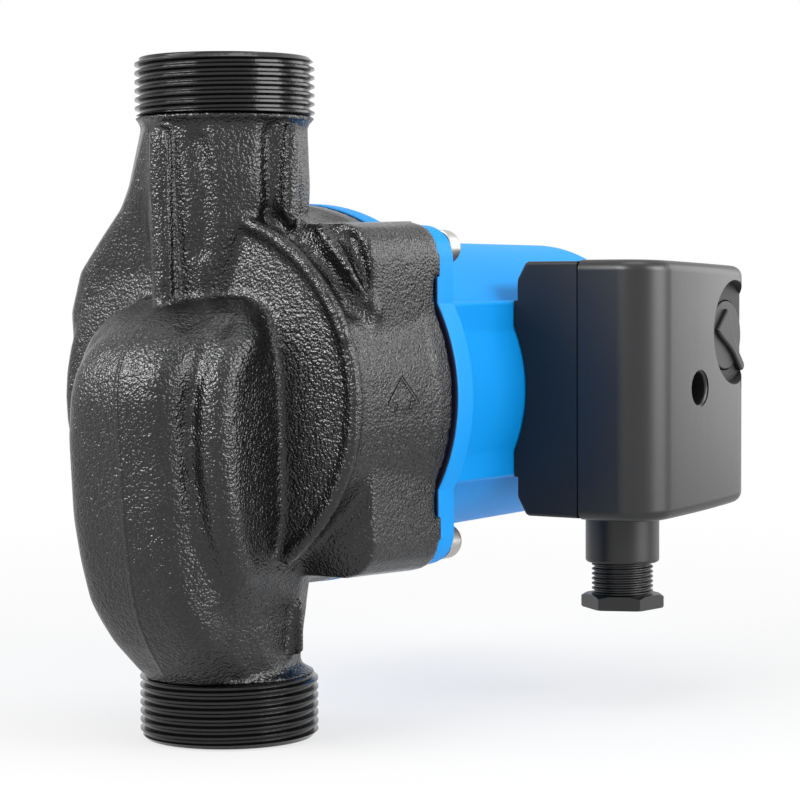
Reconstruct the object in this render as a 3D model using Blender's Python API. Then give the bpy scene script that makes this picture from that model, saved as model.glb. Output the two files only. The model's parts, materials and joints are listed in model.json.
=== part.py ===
"""Wet-rotor heating circulator with in-line threaded ports.

The origin lies on the port axis where the motor axis crosses it. +Z runs to the discharge port,
+X along the motor axis to the motor end, -Y to the terminal box. Sizes are in millimetres and
are turned into metres as each mesh is made.
"""
import math

import bmesh
import bpy
from mathutils import Matrix, Vector

MM = 0.001
GAP = 0.3
WELD = 0.002
ROUND_STEPS = 36
SMALL_STEPS = 18
INNER_STEPS = 24
CASING_STEPS = 44

# Ports and necks
PORT_SPAN = 180.0
PORT_DIAMETER = 47.6
PORT_THREAD_LENGTH = 16.5
PORT_CHAMFER = 1.6
PORT_BORE = 32.0
THROAT_BORE = 19.0
NECK_DIAMETER = 44.0
LOWER_NECK_DIAMETER = 38.0
RIB_WIDTH = 5.8
RIB_HEIGHT = 1.8
LOW_RIB_WIDTH = 2.0
LOW_RIB_HEIGHT = 4.0

# Casing bowl, scroll and lugs
SEAT_X = 32.0
RIM_RECESS = 2.0
RIM_DIAMETER = 103.6
BOWL_REAR = -12.6
BOWL_DIAMETER = 96.6
BOWL_EDGE = 4.0
BEAD_DIAMETER = 100.6
BEAD_WIDTH = 4.4
BEAD_START = 98.0
BEAD_END = 238.0
LUG_SPACING = 80.0
LUG_SPAN = 94.0
LUG_ROUND = 9.0
LUG_LENGTH = 31.0
LUG_SLOPE = 4.0
LUG_FOOT = 15.0
SCROLL_REACH = 48.8
BELLY_DEPTH = 46.0
BELLY_WIDTH = 36.5
BELLY_FLANK = 8.0
BELLY_RIDGE = 1.2
ELBOW_DEPTH = 37.5
ELBOW_WIDTH = 54.0
ELBOW_TOP = 26.5
CHAMBER_REAR = -1.0
CHAMBER_DIAMETER = 78.0
SCROLL_GROWTH = 5.5
SCROLL_WIDTH = 18.0
MOUTH_DIAMETER = 90.6
MOUTH_DEPTH = 5.0
SEAT_RING_WALL = 2.2

# Impeller and its wear ring
IMPELLER_DIAMETER = 70.0
IMPELLER_WIDTH = 12.0
IMPELLER_FRONT = 1.5
SHROUD_WALL = 1.6
SHROUD_RISE = 3.0
EYE_DIAMETER = 24.0
EYE_WALL = 2.0
HUB_DIAMETER = 18.0
HUB_LENGTH = 9.0
VANE_COUNT = 7
VANE_WALL = 1.6
VANE_SWEEP = 62.0
WEAR_WALL = 4.0
WEAR_LENGTH = 4.2
RUNNING_GAP = 0.4

# Rotor, bearings and can
SHAFT_DIAMETER = 10.0
BEARING_DIAMETER = 18.0
BEARING_LENGTH = 12.0
PLATE_WALL = 1.6
PLATE_HUB_WALL = 3.0
CAN_BORE = 46.8
CAN_WALL = 0.8
ROTOR_GAP = 0.6
ROTOR_LENGTH = 72.0
ROTOR_START = 58.0
THRUST_LENGTH = 4.0
SEAL_SECTION = 1.9

# Stator
STATOR_LENGTH = 68.0
WINDING_LENGTH = 13.0
WINDING_WALL = 12.0

# Motor housing
FLANGE_WALL = 8.6
FLANGE_DIAMETER = 104.8
FLANGE_SPAN = 92.0
FLANGE_COVE = 4.5
BARREL_DIAMETER = 85.2
BARREL_DRAFT = 0.7
BARREL_END = 166.0
BARREL_ROUND = 3.0
BARREL_WALL = 2.4
END_WALL = 4.0
PAD_FACE = -38.6
PAD_HEIGHT = 50.4
PAD_END = 152.0
SCREW_DIAMETER = 5.0
SCREW_HEAD_DIAMETER = 9.6
SCREW_HEAD_HEIGHT = 6.6
SCREW_GRIP = 16.0

# Vent plug
NECK_BORE = 18.6
NECK_WALL = 0.7
VENT_HEAD_DIAMETER = 24.0
VENT_HEAD_HEIGHT = 3.2
VENT_SLOT = 2.2
VENT_SEAL_WALL = 0.9

# Terminal box
BOX_REAR = 83.8
BOX_LENGTH = 65.0
BOX_HALF_HEIGHT = 36.9
BOX_TAPER = 2.2
BASE_INSET = 0.6
SEAM_Y = -59.6
SEAM_GAP = 1.2
BOX_FRONT = -84.0
BOX_CROWN = 0.7
BOX_CORNER = 12.0
BOX_EDGE = 3.0
BOX_WALL = 2.4
FOOT_DROP = 1.2
FLOOR_WALL = 3.0
GASKET_WIDTH = 1.2
COVER_SCREW_X = 111.0
COVER_SCREW_BORE = 9.2
COVER_SCREW_DEPTH = 18.0
COLUMN_WALL = 2.0
POST_DIAMETER = 10.0
COVER_SCREW_DIAMETER = 4.0

# Speed knob and switch
KNOB_X = 135.0
KNOB_Z = 14.6
KNOB_DIAMETER = 20.2
KNOB_DISC = 2.2
KNOB_RECESS_DIAMETER = 30.8
KNOB_RECESS_DEPTH = 3.4
KNOB_SINK = 5.4
KNOB_BOSS_WALL = 2.4
KNOB_SHAFT = 7.0
KNOB_SHAFT_LENGTH = 9.0
GRIP_HEIGHT = 1.4
GRIP_BACK = 8.4
GRIP_TIP = 3.0
GRIP_TAIL = 6.4
GRIP_NOSE = 14.0
GRIP_TURN = -47.0
SWITCH_WIDTH = 21.0

# Box internals
BLOCK_LENGTH = 12.0
BLOCK_HEIGHT = 30.0
BLOCK_DEPTH = 12.0
CAPACITOR_DIAMETER = 16.0
CAPACITOR_LENGTH = 22.0
BASE_SCREW_DIAMETER = 3.4
BASE_SCREW_Z = 21.5
BASE_SCREW_INSET = 6.0
LEAD_BORE = 10.0

# Cable gland
GLAND_X = 111.0
GLAND_DIAMETER = 21.4
GLAND_LENGTH = 14.0
GLAND_COLLAR = 2.2
GLAND_COLLAR_LENGTH = 2.4
GLAND_BORE = 11.0
GLAND_THREAD = 17.8
GLAND_SCREW_STAND = 9.3
GLAND_SCREW_ENGAGED = 8.0
GLAND_HEX = 20.8
GLAND_HEX_LENGTH = 4.0
GLAND_HEX_TURN = 52.8
GLAND_WASHER = 0.6

CUT = 4.0
SHOULDER_Z = PORT_SPAN / 2 - PORT_THREAD_LENGTH
FLANGE_X = SEAT_X + GAP
FLANGE_BACK = FLANGE_X + FLANGE_WALL
CAVITY_RADIUS = BARREL_DIAMETER / 2 - BARREL_DRAFT - BARREL_WALL
CAN_FLANGE_X = SEAT_X
PLATE_X = SEAT_X - MOUTH_DEPTH + GAP
CAN_RADIUS = CAN_BORE / 2 + CAN_WALL
ROTOR_END = ROTOR_START + ROTOR_LENGTH
STATOR_START = ROTOR_START + (ROTOR_LENGTH - STATOR_LENGTH) / 2
STATOR_END = STATOR_START + STATOR_LENGTH
NECK_START = BARREL_END - END_WALL - BEARING_LENGTH - 2 * GAP
NECK_END = BARREL_END - GAP
SHAFT_START = IMPELLER_FRONT
SHAFT_END = NECK_START + BEARING_LENGTH - GAP
FRONT_BEARING_X = PLATE_X + PLATE_WALL + GAP
BOX_END = BOX_REAR + BOX_LENGTH
BASE_RIM = SEAM_Y + SEAM_GAP / 2
COVER_RIM = SEAM_Y - SEAM_GAP / 2
FLOOR_Y = -(BARREL_DIAMETER / 2 + GAP + FLOOR_WALL)
DISH_FLOOR = BOX_FRONT + KNOB_RECESS_DEPTH
KNOB_FLOOR = BOX_FRONT + KNOB_SINK
SHANK_FLOOR = BOX_FRONT + COVER_SCREW_DEPTH
GLAND_TOP = -BOX_HALF_HEIGHT
GLAND_MOUTH = GLAND_TOP - GLAND_LENGTH
HEX_TOP = GLAND_MOUTH - GLAND_SCREW_STAND


def arc(centre, radius, start, end, count):
    """Points of a circular arc in a plane, both ends included, angles in degrees."""
    turns = [math.radians(start + (end - start) * i / (count - 1)) for i in range(count)]
    return [(centre[0] + radius * math.cos(t), centre[1] + radius * math.sin(t)) for t in turns]


def rounded(u0, u1, v0, v1, radius, per_corner=4):
    """Outline of a rectangle with rounded corners, anticlockwise."""
    radius = min(radius, (u1 - u0) / 2.001, (v1 - v0) / 2.001)
    corners = (
        ((u1 - radius, v0 + radius), -90),
        ((u1 - radius, v1 - radius), 0),
        ((u0 + radius, v1 - radius), 90),
        ((u0 + radius, v0 + radius), 180),
    )
    outline = []
    for centre, start in corners:
        outline += arc(centre, radius, start, start + 90, per_corner)
    return outline


def add_object(name, bm):
    """Close a mesh under construction, point its faces outward and link it to the scene."""
    bmesh.ops.remove_doubles(bm, verts=bm.verts, dist=1e-7)
    bmesh.ops.recalc_face_normals(bm, faces=bm.faces)
    mesh = bpy.data.meshes.new(name)
    bm.to_mesh(mesh)
    bm.free()
    obj = bpy.data.objects.new(name, mesh)
    bpy.context.scene.collection.objects.link(obj)
    return obj


def loft(name, rings):
    """Skin through rings of equal point count, closed by flat caps."""
    bm = bmesh.new()
    loops = [[bm.verts.new(Vector(p) * MM) for p in ring] for ring in rings]
    for lower, upper in zip(loops, loops[1:]):
        for i in range(len(lower)):
            j = (i + 1) % len(lower)
            bm.faces.new((lower[i], lower[j], upper[j], upper[i]))
    bm.faces.new(loops[0])
    bm.faces.new(loops[-1])
    return add_object(name, bm)


def along_x(outline, x):
    """Lay a (y, z) outline in the plane at x."""
    return [(x, y, z) for y, z in outline]


def along_y(outline, y):
    """Lay an (x, z) outline in the plane at y."""
    return [(x, y, z) for x, z in outline]


def along_z(outline, z):
    """Lay an (x, y) outline in the plane at z."""
    return [(x, y, z) for x, y in outline]


def turned(name, profile, steps=ROUND_STEPS):
    """Turn an (x, radius) profile about the motor axis."""
    bm = bmesh.new()
    verts = [bm.verts.new(Vector((x, r, 0.0)) * MM) for x, r in profile]
    pairs = list(zip(verts, verts[1:]))
    if profile[0][1] > 0.0:
        pairs.append((verts[-1], verts[0]))
    edges = [bm.edges.new(pair) for pair in pairs]
    full = 2 * math.pi
    geometry = verts + edges
    bmesh.ops.spin(bm, geom=geometry, cent=(0, 0, 0), axis=(1, 0, 0), angle=full, steps=steps, use_merge=True)
    return add_object(name, bm)


def turned_at(name, profile, point, direction, steps=SMALL_STEPS):
    """Turn an (advance, radius) profile about an axis through a point."""
    obj = turned(name, profile, steps)
    spin = Vector((1, 0, 0)).rotation_difference(Vector(direction)).to_matrix().to_4x4()
    obj.data.transform(Matrix.Translation(Vector(point) * MM) @ spin)
    return obj


def rod(name, point, direction, start, end, radius, steps=SMALL_STEPS):
    """Solid cylinder along an axis through a point."""
    return turned_at(name, [(start, 0), (start, radius), (end, radius), (end, 0)], point, direction, steps)


def ring(name, start, end, inner, outer, steps=ROUND_STEPS):
    """Flat ring about the motor axis."""
    return turned(name, [(start, inner), (start, outer), (end, outer), (end, inner)], steps)


def box(name, x0, x1, y0, y1, z0, z1, radius=0.0):
    """Block with its edges along X rounded."""
    outline = [(y1, z0), (y1, z1), (y0, z1), (y0, z0)]
    if radius > 0.0:
        outline = rounded(y0, y1, z0, z1, radius, 4)
    return loft(name, [along_x(outline, x0), along_x(outline, x1)])


def tube(name, stations):
    """Skin of circles through (x, y, z, radius) stations that climb in z."""
    rings = []
    for x, y, z, radius in stations:
        rings.append(along_z(arc((x, y), radius, 0, 360 * (1 - 1 / SMALL_STEPS), SMALL_STEPS), z))
    return loft(name, rings)


def combine(target, tool, operation):
    """Boolean of one solid with another, which is used up."""
    step = target.modifiers.new("combine", "BOOLEAN")
    step.operation = operation
    step.solver = "EXACT"
    step.object = tool
    graph = bpy.context.evaluated_depsgraph_get()
    mesh = bpy.data.meshes.new_from_object(target.evaluated_get(graph))
    bm = bmesh.new()
    bm.from_mesh(mesh)
    bmesh.ops.remove_doubles(bm, verts=bm.verts, dist=WELD * MM)
    bmesh.ops.dissolve_degenerate(bm, edges=bm.edges, dist=WELD * MM)
    bm.to_mesh(mesh)
    bm.free()
    target.modifiers.clear()
    target.data = mesh
    mesh.name = target.name
    bpy.data.objects.remove(tool)


def fuse(target, *tools):
    """Join solids into the target."""
    for tool in tools:
        combine(target, tool, "UNION")
    return target


def carve(target, *tools):
    """Cut solids out of the target."""
    for tool in tools:
        combine(target, tool, "DIFFERENCE")
    return target


def set_origin(obj, point):
    """Move an object's origin to a point without moving its solid."""
    place = Vector(point) * MM
    obj.data.transform(Matrix.Translation(-place))
    obj.location = place


def make_material(name, colour, roughness, metallic):
    """Plain material of one finish."""
    material = bpy.data.materials.new(name)
    material.use_nodes = True
    shader = material.node_tree.nodes["Principled BSDF"]
    shader.inputs["Base Color"].default_value = (*colour, 1.0)
    shader.inputs["Roughness"].default_value = roughness
    shader.inputs["Metallic"].default_value = metallic
    return material


def finish(obj, material):
    """Give an object its material and smooth round faces."""
    obj.data.materials.clear()
    obj.data.materials.append(material)
    obj.data.shade_smooth()
    obj.data.set_sharp_from_angle(angle=math.radians(32))


def corners(half):
    """Lug positions round the motor axis."""
    return [(y * half, z * half) for y in (-1, 1) for z in (1, -1)]


def bowl_profile():
    """Back of the bowl with its rounded edge, then the tapered skirt out to the rim."""
    rear = BOWL_REAR + 1.0
    outer = BOWL_DIAMETER / 2
    edge = arc((rear + BOWL_EDGE, outer - BOWL_EDGE), BOWL_EDGE, 180, 90, 5)
    front = SEAT_X - RIM_RECESS / 2
    back = [(rear - 2.0, 0), (rear - 1.2, outer * 0.6)]
    return back + edge + [(front, RIM_DIAMETER / 2), (front, 0)]


def bead():
    """Raised bead along the bowl's back edge on the box side, from the upper neck to the lower one."""
    radius = BEAD_WIDTH / 2
    middle = BEAD_DIAMETER / 2 - radius
    section = arc((BOWL_REAR + radius, middle), radius, 0, 315, 8)
    count = 22
    rings = []
    for i in range(count):
        turn = math.radians(BEAD_START + (BEAD_END - BEAD_START) * i / (count - 1))
        rings.append([(x, r * math.cos(turn), r * math.sin(turn)) for x, r in section])
    return loft("bead", rings)


def lug_block():
    """Square block behind the joint face whose corners stand out as lugs, with sloped backs."""
    half = LUG_SPAN / 2
    inner = half - LUG_SLOPE * 2
    start = SEAT_X - LUG_LENGTH
    stations = ((start - LUG_SLOPE, inner), (start, half - 1.0), (SEAT_X, half))
    rings = [along_x(rounded(-s, s, -s, s, LUG_ROUND), x) for x, s in stations]
    return loft("lugs", rings)


def lug_relief():
    """Two bars that set the rim back between the lugs."""
    reach = RIM_DIAMETER
    gap = LUG_SPAN / 2 - LUG_FOOT
    x0 = SEAT_X - RIM_RECESS
    x1 = SEAT_X + RIM_RECESS
    return (
        box("relief_y", x0, x1, -gap, gap, -reach, reach),
        box("relief_z", x0, x1, -reach, reach, -gap, gap),
    )


def elbow_stations():
    """Sections of the suction body: z, rear, front, half width, corner, and the hollow along its back."""
    depth = ELBOW_DEPTH
    half = ELBOW_WIDTH / 2
    neck = LOWER_NECK_DIAMETER / 2
    swell = BELLY_WIDTH / 2
    return (
        (-SHOULDER_Z - 1.0, neck + 2.4, neck, neck, 19.0, -3.0, swell - 8.0),
        (-0.90 * SHOULDER_Z, depth - 8.5, neck, neck + 0.4, 18.5, -2.0, swell - 6.0),
        (-0.76 * SHOULDER_Z, depth - 4.5, neck - 0.5, neck + 1.4, 16.5, 0.2, swell - 0.6),
        (-0.60 * SHOULDER_Z, depth - 2.3, neck - 5.0, half - 3.4, 13.0, 1.6, swell - 2.0),
        (-0.38 * SHOULDER_Z, depth - 0.9, 0.0, half - 0.6, 11.0, 2.5, swell - 4.0),
        (-0.11 * SHOULDER_Z, depth, 0.0, half, 10.5, 2.9, swell - 4.5),
        (ELBOW_TOP - 18.5, depth - 0.6, 0.0, half - 0.5, 10.5, 2.7, swell - 2.6),
        (ELBOW_TOP - 9.5, depth - 4.5, 0.0, half - 2.0, 10.5, 2.0, swell - 5.6),
        (ELBOW_TOP - 3.5, depth - 10.5, 0.0, half - 4.5, 10.0, 1.2, swell - 9.0),
        (ELBOW_TOP, depth - 18.5, 0.0, half - 9.0, 10.0, 0.8, swell - 11.0),
    )


def elbow():
    """Broad body of the suction passage, with a side lobe on each side of a hollow back."""
    body = []
    hollow = []
    for z, rear, front, width, corner, sink, swell in elbow_stations():
        body.append(along_z(rounded(-rear, front, -width, width, corner), z))
        flank = swell + BELLY_FLANK
        floor = sink - rear
        trough = [(floor, -swell), (floor, swell), (-rear - 1.0, flank), (-rear - 9.0, flank)]
        trough += [(-rear - 9.0, -flank), (-rear - 1.0, -flank)]
        hollow.append(along_z(trough, z))
    return carve(loft("elbow", body), loft("hollow", hollow))


def belly():
    """Raised central swell of the suction passage, ridged at the parting plane."""
    depth = BELLY_DEPTH
    half = BELLY_WIDTH / 2
    stations = (
        (-SHOULDER_Z - 0.5, depth - 22.0, 6.4, 6.0, 7.0),
        (-0.955 * SHOULDER_Z, depth - 18.0, 4.4, 4.4, 8.0),
        (-0.85 * SHOULDER_Z, depth - 12.0, 1.2, 1.6, 8.0),
        (-0.775 * SHOULDER_Z, depth - 9.0, -0.6, 0.6, 8.0),
        (-0.70 * SHOULDER_Z, depth - 6.6, -2.2, 0.8, 8.0),
        (-0.55 * SHOULDER_Z, depth - 4.2, -3.4, 2.4, 8.0),
        (-0.40 * SHOULDER_Z, depth - 2.6, -4.2, 3.8, 8.0),
        (-0.12 * SHOULDER_Z, depth - 0.9, -4.0, 4.5, 8.0),
        (ELBOW_TOP - 25.0, depth, -2.6, 3.8, 8.0),
        (ELBOW_TOP - 18.0, depth - 0.9, -1.2, 2.6, 8.0),
        (ELBOW_TOP - 11.8, depth - 4.0, 1.6, 4.8, 7.0),
        (ELBOW_TOP - 6.0, depth - 10.0, 5.4, 7.9, 6.0),
        (ELBOW_TOP - 2.7, depth - 17.0, 8.6, 10.2, 5.0),
        (ELBOW_TOP - 1.0, depth - 26.0, 11.8, 12.0, 5.0),
    )
    rings = []
    for z, rear, far, near, corner in stations:
        outline = rounded(BELLY_RIDGE - rear, -8.0, near - half, half - far, corner, 4)
        rings.append(along_z(outline[:12] + [(-rear, 0.0)] + outline[12:], z))
    return loft("belly", rings)


def scroll_throat():
    """Outer wall of the scroll where it leaves the bowl and narrows into the upper neck."""
    neck = NECK_DIAMETER / 2
    rear = -BOWL_REAR
    stations = (
        (0.13 * SHOULDER_Z, rear - 2.0, 16.0, -6.0, SCROLL_REACH - 0.6, 8.0),
        (0.31 * SHOULDER_Z, rear - 1.6, 17.0, -10.0, SCROLL_REACH, 8.0),
        (0.46 * SHOULDER_Z, rear - 0.6, 17.0, -14.0, SCROLL_REACH - 4.2, 8.0),
        (0.58 * SHOULDER_Z, rear + 0.6, 17.0, -17.0, SCROLL_REACH - 12.4, 8.0),
        (0.69 * SHOULDER_Z, rear + 2.4, 18.0, -19.0, SCROLL_REACH - 20.4, 9.0),
        (0.77 * SHOULDER_Z, rear + 4.4, 19.0, -20.0, SCROLL_REACH - 23.2, 12.0),
        (SHOULDER_Z + 0.5, neck, neck, -neck, neck, neck),
    )
    rings = [along_z(rounded(-r, f, y0, y1, c), z) for z, r, f, y0, y1, c in stations]
    return loft("throat", rings)


def neck_core():
    """Upper neck carried down to the suction body, behind the scroll."""
    neck = NECK_DIAMETER / 2
    stations = (
        (ELBOW_TOP - 8.0, neck - 4.0, -8.0, 11.0, 7.0),
        (0.46 * SHOULDER_Z, neck - 2.8, -11.0, 14.0, 9.0),
        (0.62 * SHOULDER_Z, neck - 1.6, -15.0, 17.0, 12.0),
        (0.80 * SHOULDER_Z, neck - 0.5, -20.0, 20.0, 18.0),
        (SHOULDER_Z + 0.5, neck, -neck, neck, neck),
    )
    return loft("core", [along_z(rounded(-r, r, y0, y1, c), z) for z, r, y0, y1, c in stations])


def port(end):
    """Threaded pipe end over its crests, chamfered at the face."""
    radius = PORT_DIAMETER / 2
    face = PORT_SPAN / 2
    profile = [
        (face - PORT_THREAD_LENGTH - 2.0, 0),
        (face - PORT_THREAD_LENGTH - 2.0, NECK_DIAMETER / 2 - 2.0),
        (face - PORT_THREAD_LENGTH, radius),
        (face - PORT_CHAMFER, radius),
        (face, radius - PORT_CHAMFER),
        (face, 0),
    ]
    return turned_at("port", profile, (0, 0, 0), (0, 0, end), ROUND_STEPS)


def neck_ribs():
    """Stiffening ribs on the necks: one on the parting side, one on the box side, one below."""
    neck = NECK_DIAMETER / 2
    low = LOWER_NECK_DIAMETER / 2
    top = SHOULDER_Z - 2.5
    foot = ELBOW_TOP - 6.0
    proud = neck + RIB_HEIGHT
    back = [
        along_z(rounded(-reach, -8.0, 1.0, 1.0 + RIB_WIDTH, 1.2), z)
        for reach, z in ((proud - 2.0, foot), (proud, top))
    ]
    low_top = -0.72 * SHOULDER_Z
    return (
        loft("rib_back", back),
        box("rib_side", 1.0 - RIB_WIDTH, 1.0, -proud, 6.0 - neck, 0.6 * SHOULDER_Z, top, 1.2),
        box("rib_low", 0.5, 0.5 + LOW_RIB_WIDTH, -low - LOW_RIB_HEIGHT, 6.0 - low, 4.0 - top, low_top, 0.8),
    )


def scroll_chamber():
    """Spiral water space that widens from the cutwater round to the discharge."""
    base = CHAMBER_DIAMETER / 2
    outline = []
    for i in range(ROUND_STEPS):
        share = i / ROUND_STEPS
        turn = math.radians(8) + 2 * math.pi * share
        radius = base + 0.5 + SCROLL_GROWTH * share
        outline.append((-radius * math.sin(turn), radius * math.cos(turn)))
    start = CHAMBER_REAR + 2.0
    return loft("spiral", [along_x(outline, start), along_x(outline, start + SCROLL_WIDTH)])


def casing_waterways():
    """Cutters for the chamber, the mouth, the eye and the two port passages."""
    chamber = CHAMBER_DIAMETER / 2
    mouth = MOUTH_DIAMETER / 2
    step = SEAT_X - MOUTH_DEPTH
    wear = EYE_DIAMETER / 2 + EYE_WALL + RUNNING_GAP + WEAR_WALL + GAP
    eye = EYE_DIAMETER / 2 + EYE_WALL
    wear_back = CHAMBER_REAR - WEAR_LENGTH - GAP
    rear = -(ELBOW_DEPTH - 16.5)
    bore = PORT_BORE / 2
    face = PORT_SPAN / 2 + CUT
    throat = THROAT_BORE / 2
    inside = [
        (rear - 2.0, 0), (rear - 2.0, eye), (wear_back, eye), (wear_back, wear), (CHAMBER_REAR, wear),
        (CHAMBER_REAR, chamber), (step, chamber), (step, mouth), (SEAT_X + CUT, mouth), (SEAT_X + CUT, 0),
    ]
    suction = (
        (0, 0, -face, bore), (0, 0, -0.90 * SHOULDER_Z, bore), (-4.0, 0, -0.78 * SHOULDER_Z, bore - 1.0),
        (-9.5, 0, -0.68 * SHOULDER_Z, bore - 2.0), (-14.5, 0, -0.57 * SHOULDER_Z, bore - 3.0),
        (-18.0, 0, -0.46 * SHOULDER_Z, bore - 3.0), (rear + 1.0, 0, -0.30 * SHOULDER_Z, bore - 2.5),
        (rear, 0, -0.14 * SHOULDER_Z, bore - 2.0), (rear, 0, 0.0, bore - 2.0), (rear, 0, 6.0, bore - 5.0),
    )
    discharge = (
        (9.0, 20.0, 0.36 * SHOULDER_Z, throat), (7.0, 14.0, 0.49 * SHOULDER_Z, throat + 1.0),
        (4.0, 6.0, 0.65 * SHOULDER_Z, throat + 3.0), (1.5, 2.0, 0.79 * SHOULDER_Z, bore - 1.5),
        (0, 0, 0.90 * SHOULDER_Z, bore), (0, 0, face, bore),
    )
    rooms = (scroll_chamber(), turned("inside", inside, CASING_STEPS))
    return (rooms[0], tube("suction", suction), tube("discharge", discharge), rooms[1])


def make_casing():
    """Cast volute casing with its ports."""
    casing = turned("volute_casing", bowl_profile(), CASING_STEPS)
    fuse(casing, lug_block())
    carve(casing, *lug_relief())
    mouth = MOUTH_DIAMETER / 2
    seat = ring("seat", SEAT_X - RIM_RECESS - 2.0, SEAT_X, mouth - 2.0, mouth + SEAT_RING_WALL, CASING_STEPS)
    fuse(casing, seat, scroll_throat(), neck_core(), elbow(), belly(), bead())
    fuse(casing, port(1), port(-1), *neck_ribs())
    carve(casing, *casing_waterways())
    half = LUG_SPACING / 2
    depth = SEAT_X - SCREW_GRIP - 2.0
    clear = SCREW_DIAMETER / 2 + GAP
    for y, z in corners(half):
        carve(casing, rod("hole", (0, y, z), (1, 0, 0), depth, SEAT_X + CUT, clear, 12))
    return casing


def make_wear_ring():
    """Ring in the casing wall that the impeller eye runs in."""
    inner = EYE_DIAMETER / 2 + EYE_WALL + RUNNING_GAP
    return ring("wear_ring", CHAMBER_REAR - WEAR_LENGTH, CHAMBER_REAR, inner, inner + WEAR_WALL, INNER_STEPS)


def shroud_x(radius):
    """Inner face of the front shroud at a radius."""
    eye = EYE_DIAMETER / 2
    share = (radius - eye) / (IMPELLER_DIAMETER / 2 - eye)
    return IMPELLER_FRONT + SHROUD_WALL + SHROUD_RISE * share


def vane(index):
    """One backward-curved vane, its front edge following the shroud."""
    inner = EYE_DIAMETER / 2 + 1.0
    outer = IMPELLER_DIAMETER / 2 - 0.4
    count = 7
    sides = ([], [])
    for i in range(count):
        share = i / (count - 1)
        radius = inner + (outer - inner) * share
        turn = 2 * math.pi * index / VANE_COUNT - math.radians(VANE_SWEEP) * share ** 0.85
        for side, sign in zip(sides, (-0.5, 0.5)):
            slip = sign * VANE_WALL * 1.25 / radius
            side.append((radius, turn + slip))
    outline = sides[0] + sides[1][::-1]
    back = IMPELLER_FRONT + IMPELLER_WIDTH - SHROUD_WALL / 2
    rings = []
    for depth in (-SHROUD_WALL / 2, None):
        points = []
        for radius, turn in outline:
            x = back if depth is None else shroud_x(radius) + depth
            points.append((x, radius * math.cos(turn), radius * math.sin(turn)))
        rings.append(points)
    return loft("vane", rings)


def make_impeller():
    """Closed impeller: hub and back shroud, curved vanes, front shroud with the eye."""
    radius = IMPELLER_DIAMETER / 2
    eye = EYE_DIAMETER / 2
    back = IMPELLER_FRONT + IMPELLER_WIDTH
    bore = SHAFT_DIAMETER / 2 + GAP
    hub = HUB_DIAMETER / 2
    inner = back - SHROUD_WALL
    boss = inner - 4.0
    disc = [
        (boss, bore), (boss, hub - 3.0), (inner, hub + 1.0), (inner, radius), (back, radius), (back, hub),
        (back + HUB_LENGTH, hub), (back + HUB_LENGTH, bore),
    ]
    impeller = turned("impeller", disc, INNER_STEPS)
    front = IMPELLER_FRONT
    neck = CHAMBER_REAR - WEAR_LENGTH
    cover = [
        (neck, eye), (neck, eye + EYE_WALL), (front, eye + EYE_WALL), (front + SHROUD_RISE, radius),
        (front + SHROUD_RISE + SHROUD_WALL, radius), (front + SHROUD_WALL, eye),
    ]
    for index in range(VANE_COUNT):
        fuse(impeller, vane(index))
    return fuse(impeller, turned("cover", cover, INNER_STEPS))


def make_shaft():
    """Shaft from the impeller to the rear bearing, with broken edges."""
    radius = SHAFT_DIAMETER / 2
    edge = 0.8
    profile = [
        (SHAFT_START, 0), (SHAFT_START, radius - edge), (SHAFT_START + edge, radius),
        (SHAFT_END - edge, radius), (SHAFT_END, radius - edge), (SHAFT_END, 0),
    ]
    return turned("shaft", profile, SMALL_STEPS)


def make_rotor_core():
    """Sleeved rotor pack on the shaft."""
    outer = CAN_BORE / 2 - ROTOR_GAP
    inner = SHAFT_DIAMETER / 2 + GAP
    edge = 1.0
    profile = [
        (ROTOR_START, inner), (ROTOR_START, outer - edge), (ROTOR_START + edge, outer),
        (ROTOR_END - edge, outer), (ROTOR_END, outer - edge), (ROTOR_END, inner),
    ]
    return turned("rotor_core", profile, INNER_STEPS)


def make_bearing(name, start):
    """Plain bearing bush."""
    bore = SHAFT_DIAMETER / 2 + GAP
    return ring(name, start, start + BEARING_LENGTH, bore, BEARING_DIAMETER / 2, SMALL_STEPS)


def make_thrust_ring():
    """Thrust ring between the front bearing and the rotor pack, seated on the pack."""
    end = ROTOR_START - GAP
    bore = SHAFT_DIAMETER / 2 + GAP
    return ring("thrust_ring", end - THRUST_LENGTH, end, bore, BEARING_DIAMETER / 2, SMALL_STEPS)


def make_bearing_plate():
    """Pressed plate across the casing mouth that carries the front bearing in its hub."""
    rim = MOUTH_DIAMETER / 2 - GAP
    seat = BEARING_DIAMETER / 2 + GAP
    hub = seat + PLATE_HUB_WALL
    hole = SHAFT_DIAMETER / 2 + 1.0
    back = PLATE_X + PLATE_WALL
    end = FRONT_BEARING_X + BEARING_LENGTH
    profile = [
        (PLATE_X, hole), (PLATE_X, rim), (back, rim), (back, hub), (end, hub), (end, seat), (back, seat),
        (back, hole),
    ]
    return turned("bearing_plate", profile, INNER_STEPS)


def make_rotor_can():
    """Thin can between rotor and stator, flanged in front, with a neck through the motor end."""
    inner = CAN_BORE / 2
    rim = MOUTH_DIAMETER / 2 - GAP
    front = CAN_FLANGE_X - CAN_WALL
    neck = NECK_BORE / 2
    sleeve = neck + NECK_WALL
    profile = [
        (front, inner), (front, rim), (CAN_FLANGE_X, rim), (CAN_FLANGE_X, CAN_RADIUS),
        (NECK_START, CAN_RADIUS), (NECK_START, sleeve), (NECK_END, sleeve), (NECK_END, neck),
        (NECK_START - CAN_WALL, neck), (NECK_START - CAN_WALL, inner),
    ]
    return turned("rotor_can", profile, INNER_STEPS)


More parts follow.
